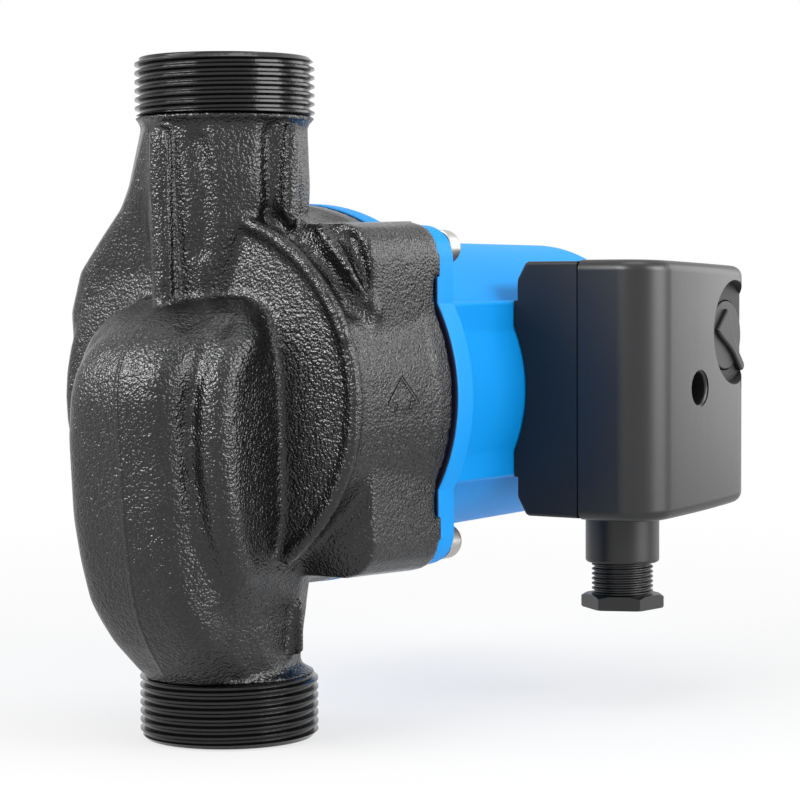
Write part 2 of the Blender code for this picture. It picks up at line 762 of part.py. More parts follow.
def make_casing_seal():
    """Round-section seal between bearing plate and can flange."""
    front = PLATE_X + PLATE_WALL + GAP
    back = CAN_FLANGE_X - CAN_WALL - GAP
    section = min(SEAL_SECTION, back - front)
    centre = ((front + back) / 2, MOUTH_DIAMETER / 2 - GAP - SEAL_SECTION / 2)
    return turned("casing_seal", arc(centre, section / 2, 0, 300, 6), INNER_STEPS)


def make_stator():
    """Lamination pack and its two end windings."""
    inner = CAN_RADIUS + GAP
    outer = CAVITY_RADIUS - GAP
    core = ring("stator_core", STATOR_START, STATOR_END, inner, outer, INNER_STEPS)
    windings = []
    for name, start in (
        ("winding_front", STATOR_START - GAP - WINDING_LENGTH), ("winding_rear", STATOR_END + GAP)
    ):
        outline = rounded(start, start + WINDING_LENGTH, inner + 1.0, inner + 1.0 + WINDING_WALL, 4.0, 2)
        windings.append(turned(name, outline, INNER_STEPS))
    return core, windings[0], windings[1]


def housing_profile():
    """Flange, cove, tapered barrel and rounded end of the motor housing."""
    flange = FLANGE_DIAMETER / 2
    root = BARREL_DIAMETER / 2
    tail = root - BARREL_DRAFT
    cove = arc((FLANGE_BACK + FLANGE_COVE, root + FLANGE_COVE), FLANGE_COVE, 180, 270, 5)
    nose = arc((BARREL_END - BARREL_ROUND, tail - BARREL_ROUND), BARREL_ROUND, 90, 0, 5)
    front = [(FLANGE_X, 0), (FLANGE_X, flange), (FLANGE_BACK - 0.6, flange), (FLANGE_BACK, flange - 0.6)]
    return front + cove + nose + [(BARREL_END, 0)]


def pad_block():
    """Flat-faced pad along the box side of the barrel, coved into the flange."""
    half = PAD_HEIGHT / 2
    outline = rounded(PAD_FACE, 0, -half, half, 1.0, 3)
    return loft("pad", [along_x(outline, FLANGE_X + 2.0), along_x(outline, PAD_END)])


def make_motor_housing():
    """Die-cast motor housing."""
    half = FLANGE_SPAN / 2
    lugs = rounded(-half, half, -half, half, LUG_ROUND)
    housing = turned("motor_housing", housing_profile(), CASING_STEPS)
    fuse(housing, loft("flange", [along_x(lugs, FLANGE_X), along_x(lugs, FLANGE_BACK)]), pad_block())
    back = BARREL_END - END_WALL
    mouth = FLANGE_X - CUT
    neck = NECK_BORE / 2 + NECK_WALL + GAP
    cavity = [
        (mouth, 0), (mouth, CAVITY_RADIUS), (back, CAVITY_RADIUS), (back, neck), (BARREL_END + CUT, neck),
        (BARREL_END + CUT, 0),
    ]
    carve(housing, turned("cavity", cavity, CASING_STEPS))
    clear = SCREW_DIAMETER / 2 + GAP
    for y, z in corners(LUG_SPACING / 2):
        carve(housing, rod("hole", (0, y, z), (1, 0, 0), mouth, FLANGE_BACK + CUT, clear, 12))
    for x, z in base_screw_places():
        carve(housing, rod("hole", (x, 0, z), (0, -1, 0), -PAD_FACE - 3.4, -PAD_FACE + CUT, base_hole(), 12))
    return carve(housing, lead_hole())


def base_screw_places():
    """Fixing screws of the terminal base, on the flats of the pad."""
    inset = BASE_INSET + BOX_WALL + BASE_SCREW_INSET
    return [(BOX_REAR + inset, BASE_SCREW_Z), (BOX_END - inset, -BASE_SCREW_Z)]


def base_hole():
    """Radius of the fixing screw holes."""
    return BASE_SCREW_DIAMETER / 2 + GAP


def lead_hole():
    """Passage for the winding leads from the motor into the terminal box."""
    place = (BOX_END - BOX_LENGTH / 3, 0, -BASE_SCREW_Z / 2)
    return rod("lead", place, (0, -1, 0), CAVITY_RADIUS - 12.0, -FLOOR_Y + CUT, LEAD_BORE / 2, 16)


def make_flange_screws():
    """Four domed screws that clamp the motor flange to the casing lugs."""
    head = SCREW_HEAD_DIAMETER / 2
    shank = SCREW_DIAMETER / 2
    seat = FLANGE_BACK + GAP
    tip = SEAT_X - SCREW_GRIP
    dome = [
        (seat + SCREW_HEAD_HEIGHT * (1 - (1 - t) ** 2), head * math.sqrt(1 - (0.72 * t) ** 2))
        for t in (0.25, 0.5, 0.75, 1.0)
    ]
    profile = [(tip, 0), (tip, shank - 0.6), (tip + 0.6, shank), (seat, shank), (seat, head)]
    profile += dome + [(seat + SCREW_HEAD_HEIGHT, 0)]
    places = corners(LUG_SPACING / 2)
    return [
        turned_at("flange_screw_%d" % (i + 1), profile, (0, y, z), (1, 0, 0), SMALL_STEPS)
        for i, (y, z) in enumerate(places)
    ]


def make_vent_plug():
    """Slotted vent plug in the can's neck."""
    head = VENT_HEAD_DIAMETER / 2
    start = BARREL_END + VENT_SEAL_WALL + 2 * GAP
    end = start + VENT_HEAD_HEIGHT
    shank = NECK_BORE / 2 - GAP
    tip = NECK_START + BEARING_LENGTH + GAP
    profile = [
        (tip, 0), (tip, shank - 0.5), (tip + 0.5, shank), (start, shank), (start, head), (end - 0.8, head),
        (end, head - 0.8), (end, 0),
    ]
    plug = turned("vent_plug", profile)
    half = VENT_SLOT / 2
    slot = box("slot", end - VENT_HEAD_HEIGHT / 2, end + 2.0, -half, half, -head - 2.0, head + 2.0)
    return carve(plug, slot)


def make_vent_seal():
    """Flat seal under the vent plug head."""
    start = BARREL_END + GAP
    return ring("vent_seal", start, start + VENT_SEAL_WALL, NECK_BORE / 2 + GAP, VENT_HEAD_DIAMETER / 2 - 0.4)


def base_outline():
    """End view of the terminal base: stepped feet and a saddle over the barrel."""
    half = BOX_HALF_HEIGHT - BASE_INSET
    foot = PAD_FACE - GAP
    shelf = foot - FOOT_DROP
    saddle = BARREL_DIAMETER / 2 + GAP
    edge = math.degrees(math.asin(min(1.0, -foot / saddle)))
    reach = PAD_HEIGHT / 2
    bow = arc((0, 0), saddle, 90 + edge, 270 - edge, 11)
    upper = [(BASE_RIM, half), (shelf - 3.2, half), (shelf - 2.2, half - 0.5), (shelf, half - 4.4),
             (shelf, reach), (foot, reach)]
    lower = [(y, -z) for y, z in reversed(upper)]
    return upper + bow + lower


def gland_cut():
    """Hole that the terminal base and cover share round the gland."""
    clear = GLAND_DIAMETER / 2 + GAP
    return rod("gland", (GLAND_X, SEAM_Y, 0), (0, 0, -1), 20.0, BOX_HALF_HEIGHT + 6.0, clear)


def make_terminal_base():
    """Moulded tray with a screw post, open towards the cover."""
    x0 = BOX_REAR + BASE_INSET
    x1 = BOX_END - BASE_INSET
    outline = base_outline()
    base = loft("terminal_base", [along_x(outline, x0), along_x(outline, x1)])
    half = BOX_HALF_HEIGHT - BASE_INSET - BOX_WALL
    room = box("room", x0 + BOX_WALL, x1 - BOX_WALL, BASE_RIM - 4.0, FLOOR_Y, -half, half, 2.0)
    post = rod("post", (COVER_SCREW_X, 0, 0), (0, -1, 0), -FLOOR_Y - 4.0, -BASE_RIM, POST_DIAMETER / 2)
    carve(base, carve(room, post))
    clear = COVER_SCREW_DIAMETER / 2 + GAP
    pilot = rod("pilot", (COVER_SCREW_X, 0, 0), (0, -1, 0), -FLOOR_Y, -BASE_RIM + CUT, clear)
    for x, z in base_screw_places():
        carve(base, rod("hole", (x, 0, z), (0, -1, 0), -PAD_FACE - CUT, -FLOOR_Y + CUT, base_hole(), 12))
    return carve(base, pilot, lead_hole(), gland_cut())


def cover_plan(inset):
    """Plan of the cover in (x, y): round front corners and a slightly crowned front."""
    x0 = BOX_REAR + inset
    x1 = BOX_END - inset
    front = BOX_FRONT + inset
    corner = BOX_CORNER - inset
    left = arc((x0 + corner, front + corner), corner, 180, 270, 7)
    right = arc((x1 - corner, front + corner), corner, 270, 360, 7)
    flat = x1 - x0 - 2 * corner
    crown = []
    for i in range(1, 6):
        share = i / 6
        crown.append((x0 + corner + flat * share, front - 4 * BOX_CROWN * share * (1 - share)))
    rim = COVER_RIM + (CUT if inset > 0 else 0.0)
    return [(x0, rim)] + left + crown + right + [(x1, rim)]


def cover_block(name, inset, edge):
    """Solid between the tapered top and bottom of the cover, inset by a wall."""
    plan = cover_plan(inset)
    x0 = BOX_REAR
    top = []
    for x, y in plan:
        top.append(BOX_HALF_HEIGHT - inset - BOX_TAPER * (x - x0) / BOX_LENGTH)
    lower = [(x, y, -z) for (x, y), z in zip(plan, top)]
    upper = [(x, y, z) for (x, y), z in zip(plan, top)]
    block = loft(name, [lower, upper])
    if edge > 0.0:
        round_over(block, edge)
    return block


def round_over(block, width):
    """Round the top and bottom edges of a block except along the seam."""
    bm = bmesh.new()
    bm.from_mesh(block.data)
    rim = COVER_RIM * MM - 1e-6
    edges = []
    for edge in bm.edges:
        a, b = edge.verts
        level = abs(a.co.z - b.co.z) < 0.01 and a.co.z * b.co.z > 0
        if level and min(a.co.y, b.co.y) < rim and len(edge.link_faces) == 2:
            edges.append(edge)
    bmesh.ops.bevel(bm, geom=edges, offset=width * MM, segments=3, profile=0.5, affect="EDGES")
    bm.to_mesh(block.data)
    bm.free()


def make_terminal_cover():
    """Moulded cover with a deep screw bore and a dished seat for the knob, hollow behind."""
    cover = cover_block("terminal_cover", 0.0, BOX_EDGE)
    room = cover_block("room", BOX_WALL, 0.0)
    out = (0, -1, 0)
    front = -BOX_FRONT + 2 * CUT
    screw = (COVER_SCREW_X, 0, 0)
    lip = COVER_SCREW_BORE / 2
    column = rod("column", screw, out, -COVER_RIM - 2 * CUT, front, lip + COLUMN_WALL)
    knob = (KNOB_X, 0, KNOB_Z)
    dish = KNOB_RECESS_DIAMETER / 2
    boss = rod("boss", knob, out, -KNOB_FLOOR - KNOB_BOSS_WALL, front, dish + KNOB_BOSS_WALL, 40)
    carve(cover, carve(room, column, boss))
    rim = BOX_CROWN - BOX_FRONT
    sunk = [
        (-SHANK_FLOOR, 0), (-SHANK_FLOOR, lip), (rim - 1.4, lip), (rim + 0.2, lip + 0.7), (front, lip + 0.7),
        (front, 0),
    ]
    cutters = (
        rod("recess", knob, out, -DISH_FLOOR, front, dish, 40),
        rod("pocket", knob, out, -KNOB_FLOOR, front, KNOB_DIAMETER / 2 + GAP, 40),
        rod("spindle", knob, out, -COVER_RIM, front, KNOB_SHAFT / 2 + GAP),
        turned_at("sunk", sunk, screw, out, 28),
        rod("shank", screw, out, -COVER_RIM - CUT, -SHANK_FLOOR + 2.0, COVER_SCREW_DIAMETER / 2 + GAP),
    )
    return carve(cover, *cutters, gland_cut())


def make_box_gasket():
    """Gasket in the seam of the terminal box, broken where the gland passes."""
    inset = BASE_INSET + BOX_WALL / 2 - GASKET_WIDTH / 2
    x0 = BOX_REAR + inset
    x1 = BOX_END - inset
    half = BOX_HALF_HEIGHT - inset - BOX_TAPER / 2
    y0 = COVER_RIM + GAP
    y1 = BASE_RIM - GAP
    w = GASKET_WIDTH
    outer = rounded(x0, x1, -half, half, 3.0, 4)
    inner = rounded(x0 + w, x1 - w, -half + w, half - w, 2.0, 4)
    gasket = loft("box_gasket", [along_y(outer, y0), along_y(outer, y1)])
    return carve(gasket, loft("inner", [along_y(inner, y0 - 2.0), along_y(inner, y1 + 2.0)]), gland_cut())


def make_cover_screw():
    """Screw at the bottom of the cover's deep bore."""
    head = COVER_SCREW_BORE / 2 - 1.0
    shank = COVER_SCREW_DIAMETER / 2
    seat = -SHANK_FLOOR + GAP
    profile = [(-FLOOR_Y + 2.0, 0), (-FLOOR_Y + 2.0, shank), (seat, shank), (seat, head), (seat + 2.0, head),
               (seat + 2.8, head - 1.0), (seat + 2.8, 0)]
    return turned_at("cover_screw", profile, (COVER_SCREW_X, 0, 0), (0, -1, 0))


def grip_outline(inset):
    """Pointer grip in its own plane, tail at the back and tip along +u."""
    back = GRIP_BACK / 2 - inset
    tip = GRIP_TIP / 2 - inset
    tail = -GRIP_TAIL + inset
    nose = GRIP_NOSE - inset
    side = []
    for i in range(6):
        share = i / 5
        side.append((tail + (nose - tip - tail) * share, back + (tip - back) * share ** 0.75))
    tip_arc = arc((nose - tip, 0), tip, 90, -90, 6)[1:-1]
    return [(u, -v) for u, v in side] + [(u, -v) for u, v in tip_arc] + side[::-1]


def make_speed_knob():
    """Knob disc on its spindle with a raised pointer grip."""
    back = -KNOB_FLOOR + GAP
    face = back + KNOB_DISC
    shank = KNOB_SHAFT / 2
    radius = KNOB_DIAMETER / 2
    tip = back - KNOB_SHAFT_LENGTH
    profile = [
        (tip, 0), (tip, shank), (back, shank), (back, radius), (face - 0.5, radius), (face, radius - 0.5),
        (face, 0),
    ]
    knob = turned_at("speed_knob", profile, (KNOB_X, 0, KNOB_Z), (0, -1, 0), 40)
    turn = math.radians(GRIP_TURN)
    rings = []
    sole = GAP - DISH_FLOOR - face
    for height, inset in ((sole, 0.0), (GRIP_HEIGHT - 0.5, 0.1), (GRIP_HEIGHT, 0.5)):
        points = []
        for u, v in grip_outline(inset):
            x = KNOB_X + u * math.cos(turn) - v * math.sin(turn)
            z = KNOB_Z + u * math.sin(turn) + v * math.cos(turn)
            points.append((x, -(face + height), z))
        rings.append(points)
    fuse(knob, loft("grip", rings))
    set_origin(knob, (KNOB_X, KNOB_FLOOR, KNOB_Z))
    return knob


def make_speed_switch():
    """Speed switch on the floor of the base, under the knob spindle."""
    half = SWITCH_WIDTH / 2
    front = KNOB_FLOOR + KNOB_SHAFT_LENGTH
    span = (KNOB_X - half, KNOB_X + half)
    return box("speed_switch", *span, front, FLOOR_Y - GAP, KNOB_Z - half, KNOB_Z + half, 1.0)


def make_terminal_block():
    """Terminal block on the floor of the base, with its wire entries."""
    x0 = BOX_REAR + BASE_INSET + BOX_WALL + GAP
    back = FLOOR_Y - GAP
    z1 = BASE_SCREW_Z - 6.0
    block = box("terminal_block", x0, x0 + BLOCK_LENGTH, back - BLOCK_DEPTH, back, z1 - BLOCK_HEIGHT, z1, 1.0)
    for i in range(4):
        z = z1 - BLOCK_HEIGHT * (i + 0.5) / 4
        mouth = (x0 + BLOCK_LENGTH, back - BLOCK_DEPTH / 2, z)
        carve(block, rod("entry", mouth, (1, 0, 0), -6.0, CUT, 2.0, 12))
    return block


def make_capacitor():
    """Run capacitor lying on the floor of the base."""
    radius = CAPACITOR_DIAMETER / 2
    x0 = BOX_REAR + BASE_INSET + BOX_WALL + 2 * BASE_SCREW_INSET + GAP
    profile = [(0, 0), (0, radius - 1.0), (1.0, radius), (CAPACITOR_LENGTH - 1.0, radius),
               (CAPACITOR_LENGTH, radius - 1.0), (CAPACITOR_LENGTH, 0)]
    z = BOX_HALF_HEIGHT - BASE_INSET - BOX_WALL - 2.0 - radius
    return turned_at("capacitor", profile, (x0, FLOOR_Y - GAP - radius, z), (1, 0, 0))


def make_base_screws():
    """Two screws that hold the terminal base on the pad."""
    shank = BASE_SCREW_DIAMETER / 2
    head = shank + 1.4
    seat = -FLOOR_Y + GAP
    tip = -PAD_FACE - 2.8
    top = seat + 2.2
    profile = [(tip, 0), (tip, shank), (seat, shank), (seat, head), (top - 0.6, head), (top, head - 0.8)]
    profile.append((top, 0))
    return [
        turned_at("base_screw_%d" % (i + 1), profile, (x, 0, z), (0, -1, 0), 16)
        for i, (x, z) in enumerate(base_screw_places())
    ]


def make_gland_body():
    """Gland body held between base and cover by a collar inside the box."""
    radius = GLAND_DIAMETER / 2
    thread = GLAND_THREAD / 2 + GAP
    bore = GLAND_BORE / 2
    collar = BOX_HALF_HEIGHT - BOX_TAPER - BOX_WALL - BASE_INSET - GAP
    top = collar - GLAND_COLLAR_LENGTH
    mouth = -GLAND_MOUTH
    seat = top + GLAND_COLLAR_LENGTH + 1.0
    profile = [(top, bore), (top, radius + GLAND_COLLAR), (collar, radius + GLAND_COLLAR), (collar, radius),
               (mouth - 0.5, radius), (mouth, radius - 0.5), (mouth, thread), (seat, thread), (seat, bore)]
    return turned_at("gland_body", profile, (GLAND_X, SEAM_Y, 0), (0, 0, -1), ROUND_STEPS - 12)


def make_gland_inside():
    """Cable seal and the washer that presses on it."""
    bore = GLAND_BORE / 2
    radius = GLAND_THREAD / 2
    start = -GLAND_TOP - BOX_WALL - BASE_INSET + 1.0
    screw = -GLAND_MOUTH - GLAND_SCREW_ENGAGED
    washer = screw - GAP - GLAND_WASHER
    place = (GLAND_X, SEAM_Y, 0)
    seal = [(start, bore - 0.4), (start, radius), (washer - GAP, radius), (washer - GAP, bore - 0.4)]
    plate = [(washer, bore), (washer, radius), (washer + GLAND_WASHER, radius), (washer + GLAND_WASHER, bore)]
    return (
        turned_at("gland_seal", seal, place, (0, 0, -1)),
        turned_at("gland_washer", plate, place, (0, 0, -1)),
    )


def make_gland_screw():
    """Hollow hexagon screw that clamps the cable seal."""
    radius = GLAND_THREAD / 2
    bore = GLAND_BORE / 2
    start = -GLAND_MOUTH - GLAND_SCREW_ENGAGED
    end = -HEX_TOP + GLAND_HEX_LENGTH
    place = (GLAND_X, SEAM_Y, 0)
    screw = turned_at("gland_screw", [(start, bore), (start, radius), (-HEX_TOP + 1.0, radius),
                                      (-HEX_TOP + 1.0, bore)], place, (0, 0, -1), ROUND_STEPS - 12)
    reach = GLAND_HEX / 2 / math.cos(math.pi / 6)
    turns = [math.radians(GLAND_HEX_TURN + 60 * i) for i in range(6)]
    hexagon = [(GLAND_X + reach * math.cos(t), SEAM_Y + reach * math.sin(t)) for t in turns]
    head = loft("head", [along_z(hexagon, -end), along_z(hexagon, HEX_TOP)])
    carve(head, rod("bore", place, (0, 0, -1), -HEX_TOP - 4.0, end + 4.0, bore, 36))
    fuse(screw, head)
    set_origin(screw, (GLAND_X, SEAM_Y, GLAND_MOUTH))
    return screw


def make_all():
    """Every piece with the finish that it gets."""
    casing = make_material("casing_black", (0.030, 0.030, 0.032), 0.48, 0.0)
    blue = make_material("motor_blue", (0.010, 0.270, 0.870), 0.36, 0.0)
    black = make_material("box_black", (0.060, 0.061, 0.063), 0.52, 0.0)
    dark = make_material("seam_dark", (0.015, 0.015, 0.016), 0.70, 0.0)
    zinc = make_material("screw_zinc", (0.640, 0.640, 0.620), 0.32, 1.0)
    steel = make_material("plate_steel", (0.560, 0.560, 0.570), 0.28, 1.0)
    carbon = make_material("bearing_carbon", (0.050, 0.050, 0.052), 0.40, 0.0)
    brass = make_material("plug_brass", (0.700, 0.520, 0.240), 0.30, 1.0)
    copper = make_material("winding_copper", (0.600, 0.260, 0.120), 0.42, 1.0)
    plastic = make_material("impeller_plastic", (0.100, 0.095, 0.088), 0.45, 0.0)
    rubber = make_material("seal_rubber", (0.020, 0.020, 0.020), 0.75, 0.0)
    stator, winding_front, winding_rear = make_stator()
    gland_seal, gland_washer = make_gland_inside()
    groups = (
        (casing, (make_casing(),)),
        (blue, (make_motor_housing(),)),
        (black, (make_terminal_base(), make_terminal_cover(), make_speed_knob())),
        (black, (make_gland_body(), make_gland_screw())),
        (dark, (make_box_gasket(), make_speed_switch(), make_terminal_block())),
        (zinc, (*make_flange_screws(), *make_base_screws(), make_cover_screw(), gland_washer)),
        (steel, (make_bearing_plate(), make_rotor_can(), make_wear_ring())),
        (steel, (make_shaft(), make_rotor_core(), stator)),
        (carbon, (make_bearing("front_bearing", FRONT_BEARING_X), make_bearing("rear_bearing", NECK_START),
                  make_thrust_ring())),
        (brass, (make_vent_plug(),)),
        (copper, (winding_front, winding_rear)),
        (plastic, (make_impeller(), make_capacitor())),
        (rubber, (make_casing_seal(), make_vent_seal(), gland_seal)),
    )
    for material, pieces in groups:
        for piece in pieces:
            finish(piece, material)


def main():
    """Clear the scene and build the pump."""
    for obj in list(bpy.data.objects):
        bpy.data.objects.remove(obj)
    make_all()


if __name__ == "__main__":
    main()
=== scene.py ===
"""Looks of an in-line heating circulator, modelled over its packed solids.

The modelling helpers take millimetres in the pump's own frame: +Z runs to the discharge port,
+X along the motor and -Y to the terminal box.
"""

import json
import math

import bmesh
import bpy
from bpy.props import FloatProperty, FloatVectorProperty, IntProperty, PointerProperty
from bpy.types import Operator, Panel, PropertyGroup
from mathutils import Matrix, Vector


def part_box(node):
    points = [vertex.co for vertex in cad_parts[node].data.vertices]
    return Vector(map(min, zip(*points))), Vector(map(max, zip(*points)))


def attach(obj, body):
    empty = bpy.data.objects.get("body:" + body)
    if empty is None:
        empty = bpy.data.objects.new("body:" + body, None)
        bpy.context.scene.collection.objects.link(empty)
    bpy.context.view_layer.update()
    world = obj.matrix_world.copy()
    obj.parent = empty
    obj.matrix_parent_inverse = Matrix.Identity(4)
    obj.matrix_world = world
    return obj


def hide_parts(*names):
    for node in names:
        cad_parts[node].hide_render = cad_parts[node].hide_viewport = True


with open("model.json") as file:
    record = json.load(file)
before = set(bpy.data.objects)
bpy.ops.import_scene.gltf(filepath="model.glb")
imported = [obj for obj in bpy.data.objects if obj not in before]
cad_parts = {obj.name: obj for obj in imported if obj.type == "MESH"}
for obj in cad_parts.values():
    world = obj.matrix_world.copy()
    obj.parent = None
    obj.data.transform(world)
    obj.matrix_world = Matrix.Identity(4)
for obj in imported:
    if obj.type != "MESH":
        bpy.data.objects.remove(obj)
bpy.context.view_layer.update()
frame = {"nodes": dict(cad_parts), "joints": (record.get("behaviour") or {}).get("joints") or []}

bl_info = {
    "name": "Circulator pump looks",
    "version": (1, 0, 0),
    "blender": (4, 5, 0),
    "location": "3D View > Sidebar > Pump",
    "description": "Models and finishes the visible pieces of a heating circulator",
    "category": "Add Mesh",
}

MM = 0.001
WELD = 0.000002
X_AXIS = (1, 0, 0)
Z_AXIS = (0, 0, 1)
FRONT_AXIS = (0, -1, 0)
DOWN_AXIS = (0, 0, -1)


def box_mm(node):
    """Lowest and highest corner of a packed solid in millimetres."""
    low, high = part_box(node)
    return low / MM, high / MM


def pivot_mm(joint):
    """Point on a joint's axis in millimetres."""
    return next(Vector(row["pos_m"]) / MM for row in frame["joints"] if row["name"] == joint)


CASING_LOW, CASING_HIGH = box_mm("volute_casing")
HOUSING_LOW, HOUSING_HIGH = box_mm("motor_housing")
BASE_LOW, BASE_HIGH = box_mm("terminal_base")
COVER_LOW, COVER_HIGH = box_mm("terminal_cover")
KNOB_PIVOT = pivot_mm("knob_turn")
KNOB_AXIS = (KNOB_PIVOT.x, 0, KNOB_PIVOT.z)
COVER_SCREW_AXIS = (111.0, 0, 0)
GLAND_LOW, GLAND_HIGH = box_mm("gland_body")
GLAND_AXIS = ((GLAND_LOW.x + GLAND_HIGH.x) / 2, (GLAND_LOW.y + GLAND_HIGH.y) / 2, 0)
GLAND_HOLE = 10.9
NUT_LOW, NUT_HIGH = box_mm("gland_screw")
PLUG_LOW, PLUG_HIGH = box_mm("vent_plug")
UPPER_COLLAR = 74.6
LOWER_COLLAR = -73.3
PORT_RADIUS = 23.8
PAD_FACE = -38.6
PAD_HALF = 25.2
COVER_TAPER = 2.2
COVER_CROWN = 3.9
GRIP_TURN = -47.0
ARROW_TIP = (9.6, 5.8)
ARROW_EDGE = ((5.9, 6.1), (3.1, 6.6), (3.1, 8.5), (0.0, 8.5))


class CastingSettings(PropertyGroup):
    """Cast volute casing and its paint."""

    colour: FloatVectorProperty(
        name="Paint", description="Colour of the casting's paint", subtype="COLOR", size=3,
        min=0.0, max=1.0, default=(0.0095, 0.0095, 0.0100),
    )
    skin: FloatProperty(
        name="Skin", description="Mesh size of the cast skin", unit="LENGTH", min=0.0008, default=0.00100,
    )
    softness: IntProperty(
        name="Softness", description="Smoothing passes that round the cast edges", min=0, default=4,
    )
    blend: IntProperty(
        name="Blend", description="Smoothing passes that run the swells of the back together", min=0, default=24,
    )
    valley: IntProperty(
        name="Valley", description="Smoothing passes that widen the valley beside the elbow", min=0, default=70,
    )
    grain: FloatProperty(
        name="Grain", description="Height of the sand grain under the paint", unit="LENGTH",
        min=0.0, default=0.00040,
    )


class ThreadSettings(PropertyGroup):
    """Screw threads of the ports and of the gland."""

    port_pitch: FloatProperty(
        name="Port pitch", description="Pitch of the pipe thread", unit="LENGTH", default=0.002309,
    )
    port_depth: FloatProperty(
        name="Port depth", description="Depth of the pipe thread", unit="LENGTH", default=0.00135,
    )
    port_bore: FloatProperty(
        name="Port bore", description="Diameter of the waterway in the port", unit="LENGTH", default=0.032,
    )
    gland_pitch: FloatProperty(
        name="Gland pitch", description="Pitch of the gland's thread", unit="LENGTH", default=0.0014,
    )
    gland_depth: FloatProperty(
        name="Gland depth", description="Depth of the gland's thread", unit="LENGTH", default=0.0008,
    )


class MotorSettings(PropertyGroup):
    """Painted motor housing and its fasteners."""

    colour: FloatVectorProperty(
        name="Paint", description="Colour of the motor paint", subtype="COLOR", size=3,
        min=0.0, max=1.0, default=(0.000, 0.350, 0.940),
    )
    edge: FloatProperty(
        name="Edge", description="Radius of the housing's edges", unit="LENGTH", min=0.0002, default=0.0011,
    )
    cove: FloatProperty(
        name="Cove", description="Radius between flange and barrel", unit="LENGTH", default=0.0045,
    )
    nose: FloatProperty(
        name="Nose", description="Radius at the motor end", unit="LENGTH", default=0.003,
    )


class BoxSettings(PropertyGroup):
    """Moulded terminal box, knob and gland."""

    colour: FloatVectorProperty(
        name="Moulding", description="Colour of the moulded box", subtype="COLOR", size=3,
        min=0.0, max=1.0, default=(0.0130, 0.0130, 0.0135),
    )
    wall: FloatProperty(
        name="Wall", description="Wall of the box", unit="LENGTH", default=0.0024,
    )
    corner: FloatProperty(
        name="Corner", description="Radius of the cover's upright corners", unit="LENGTH", default=0.012,
    )
    edge: FloatProperty(
        name="Edge", description="Radius of the cover's top and bottom edges", unit="LENGTH", default=0.0032,
    )
    seam: FloatProperty(
        name="Seam", description="Open width of the seam", unit="LENGTH", default=0.0007,
    )


class StageSettings(PropertyGroup):
    """Floor, lamps and camera."""

    lens: FloatProperty(
        name="Lens", description="Focal length on a 36 mm sensor", subtype="DISTANCE_CAMERA", default=113.6,
    )
    lamps: FloatProperty(
        name="Lamps", description="Level of the softboxes", min=0.0, default=1.0,
    )
    ambient: FloatProperty(
        name="Ambient", description="Level of the room's light", min=0.0, default=0.45,
    )
    floor: FloatVectorProperty(
        name="Floor", description="Colour of the floor", subtype="COLOR", size=3,
        min=0.0, max=1.0, default=(0.86, 0.86, 0.86),
    )


class Wire:
    """A shader socket that can stand in sums."""

    def __init__(self, graph, socket):
        self.graph = graph
        self.socket = socket

    def reckon(self, operation, *terms):
        return self.graph.node("ShaderNodeMath", {"operation": operation}, dict(enumerate(terms)))

    def __add__(self, other):
        return self.reckon("ADD", self, other)

    def __radd__(self, other):
        return self.reckon("ADD", other, self)

    def __sub__(self, other):
        return self.reckon("SUBTRACT", self, other)

    def __rsub__(self, other):
        return self.reckon("SUBTRACT", other, self)

    def __mul__(self, other):
        return self.reckon("MULTIPLY", self, other)

    def __rmul__(self, other):
        return self.reckon("MULTIPLY", other, self)

    def __truediv__(self, other):
        return self.reckon("DIVIDE", self, other)

    def __pow__(self, other):
        return self.reckon("POWER", self, other)

    def __abs__(self):
        return self.reckon("ABSOLUTE", self)

    def __lt__(self, other):
        return self.reckon("LESS_THAN", self, other)

    def __gt__(self, other):
        return self.reckon("GREATER_THAN", self, other)


class Graph:
    """Shader nodes under construction."""

    def __init__(self, tree):
        self.tree = tree

    def feed(self, socket, value):
        """Links a wire to a socket, or sets the socket's own value."""
        if isinstance(value, Wire):
            self.tree.links.new(value.socket, socket)
        else:
            socket.default_value = value

    def node(self, kind, settings=None, sockets=None, out=0):
        """Any node: its settings first, then the values or links of its sockets."""
        made = self.tree.nodes.new(kind)
        for key, value in (settings or {}).items():
            setattr(made, key, value)
        for key, value in (sockets or {}).items():
            self.feed(made.inputs[key], value)
        return Wire(self, made.outputs[out])

    def seen(self):
        """One for what the eye meets directly, in a reflection or through glass."""
        paths = self.node("ShaderNodeLightPath").socket.node.outputs
        direct, mirrored, through = (
            Wire(self, paths[name]) for name in ("Is Camera Ray", "Is Glossy Ray", "Is Transmission Ray")
        )
        return direct + mirrored + through


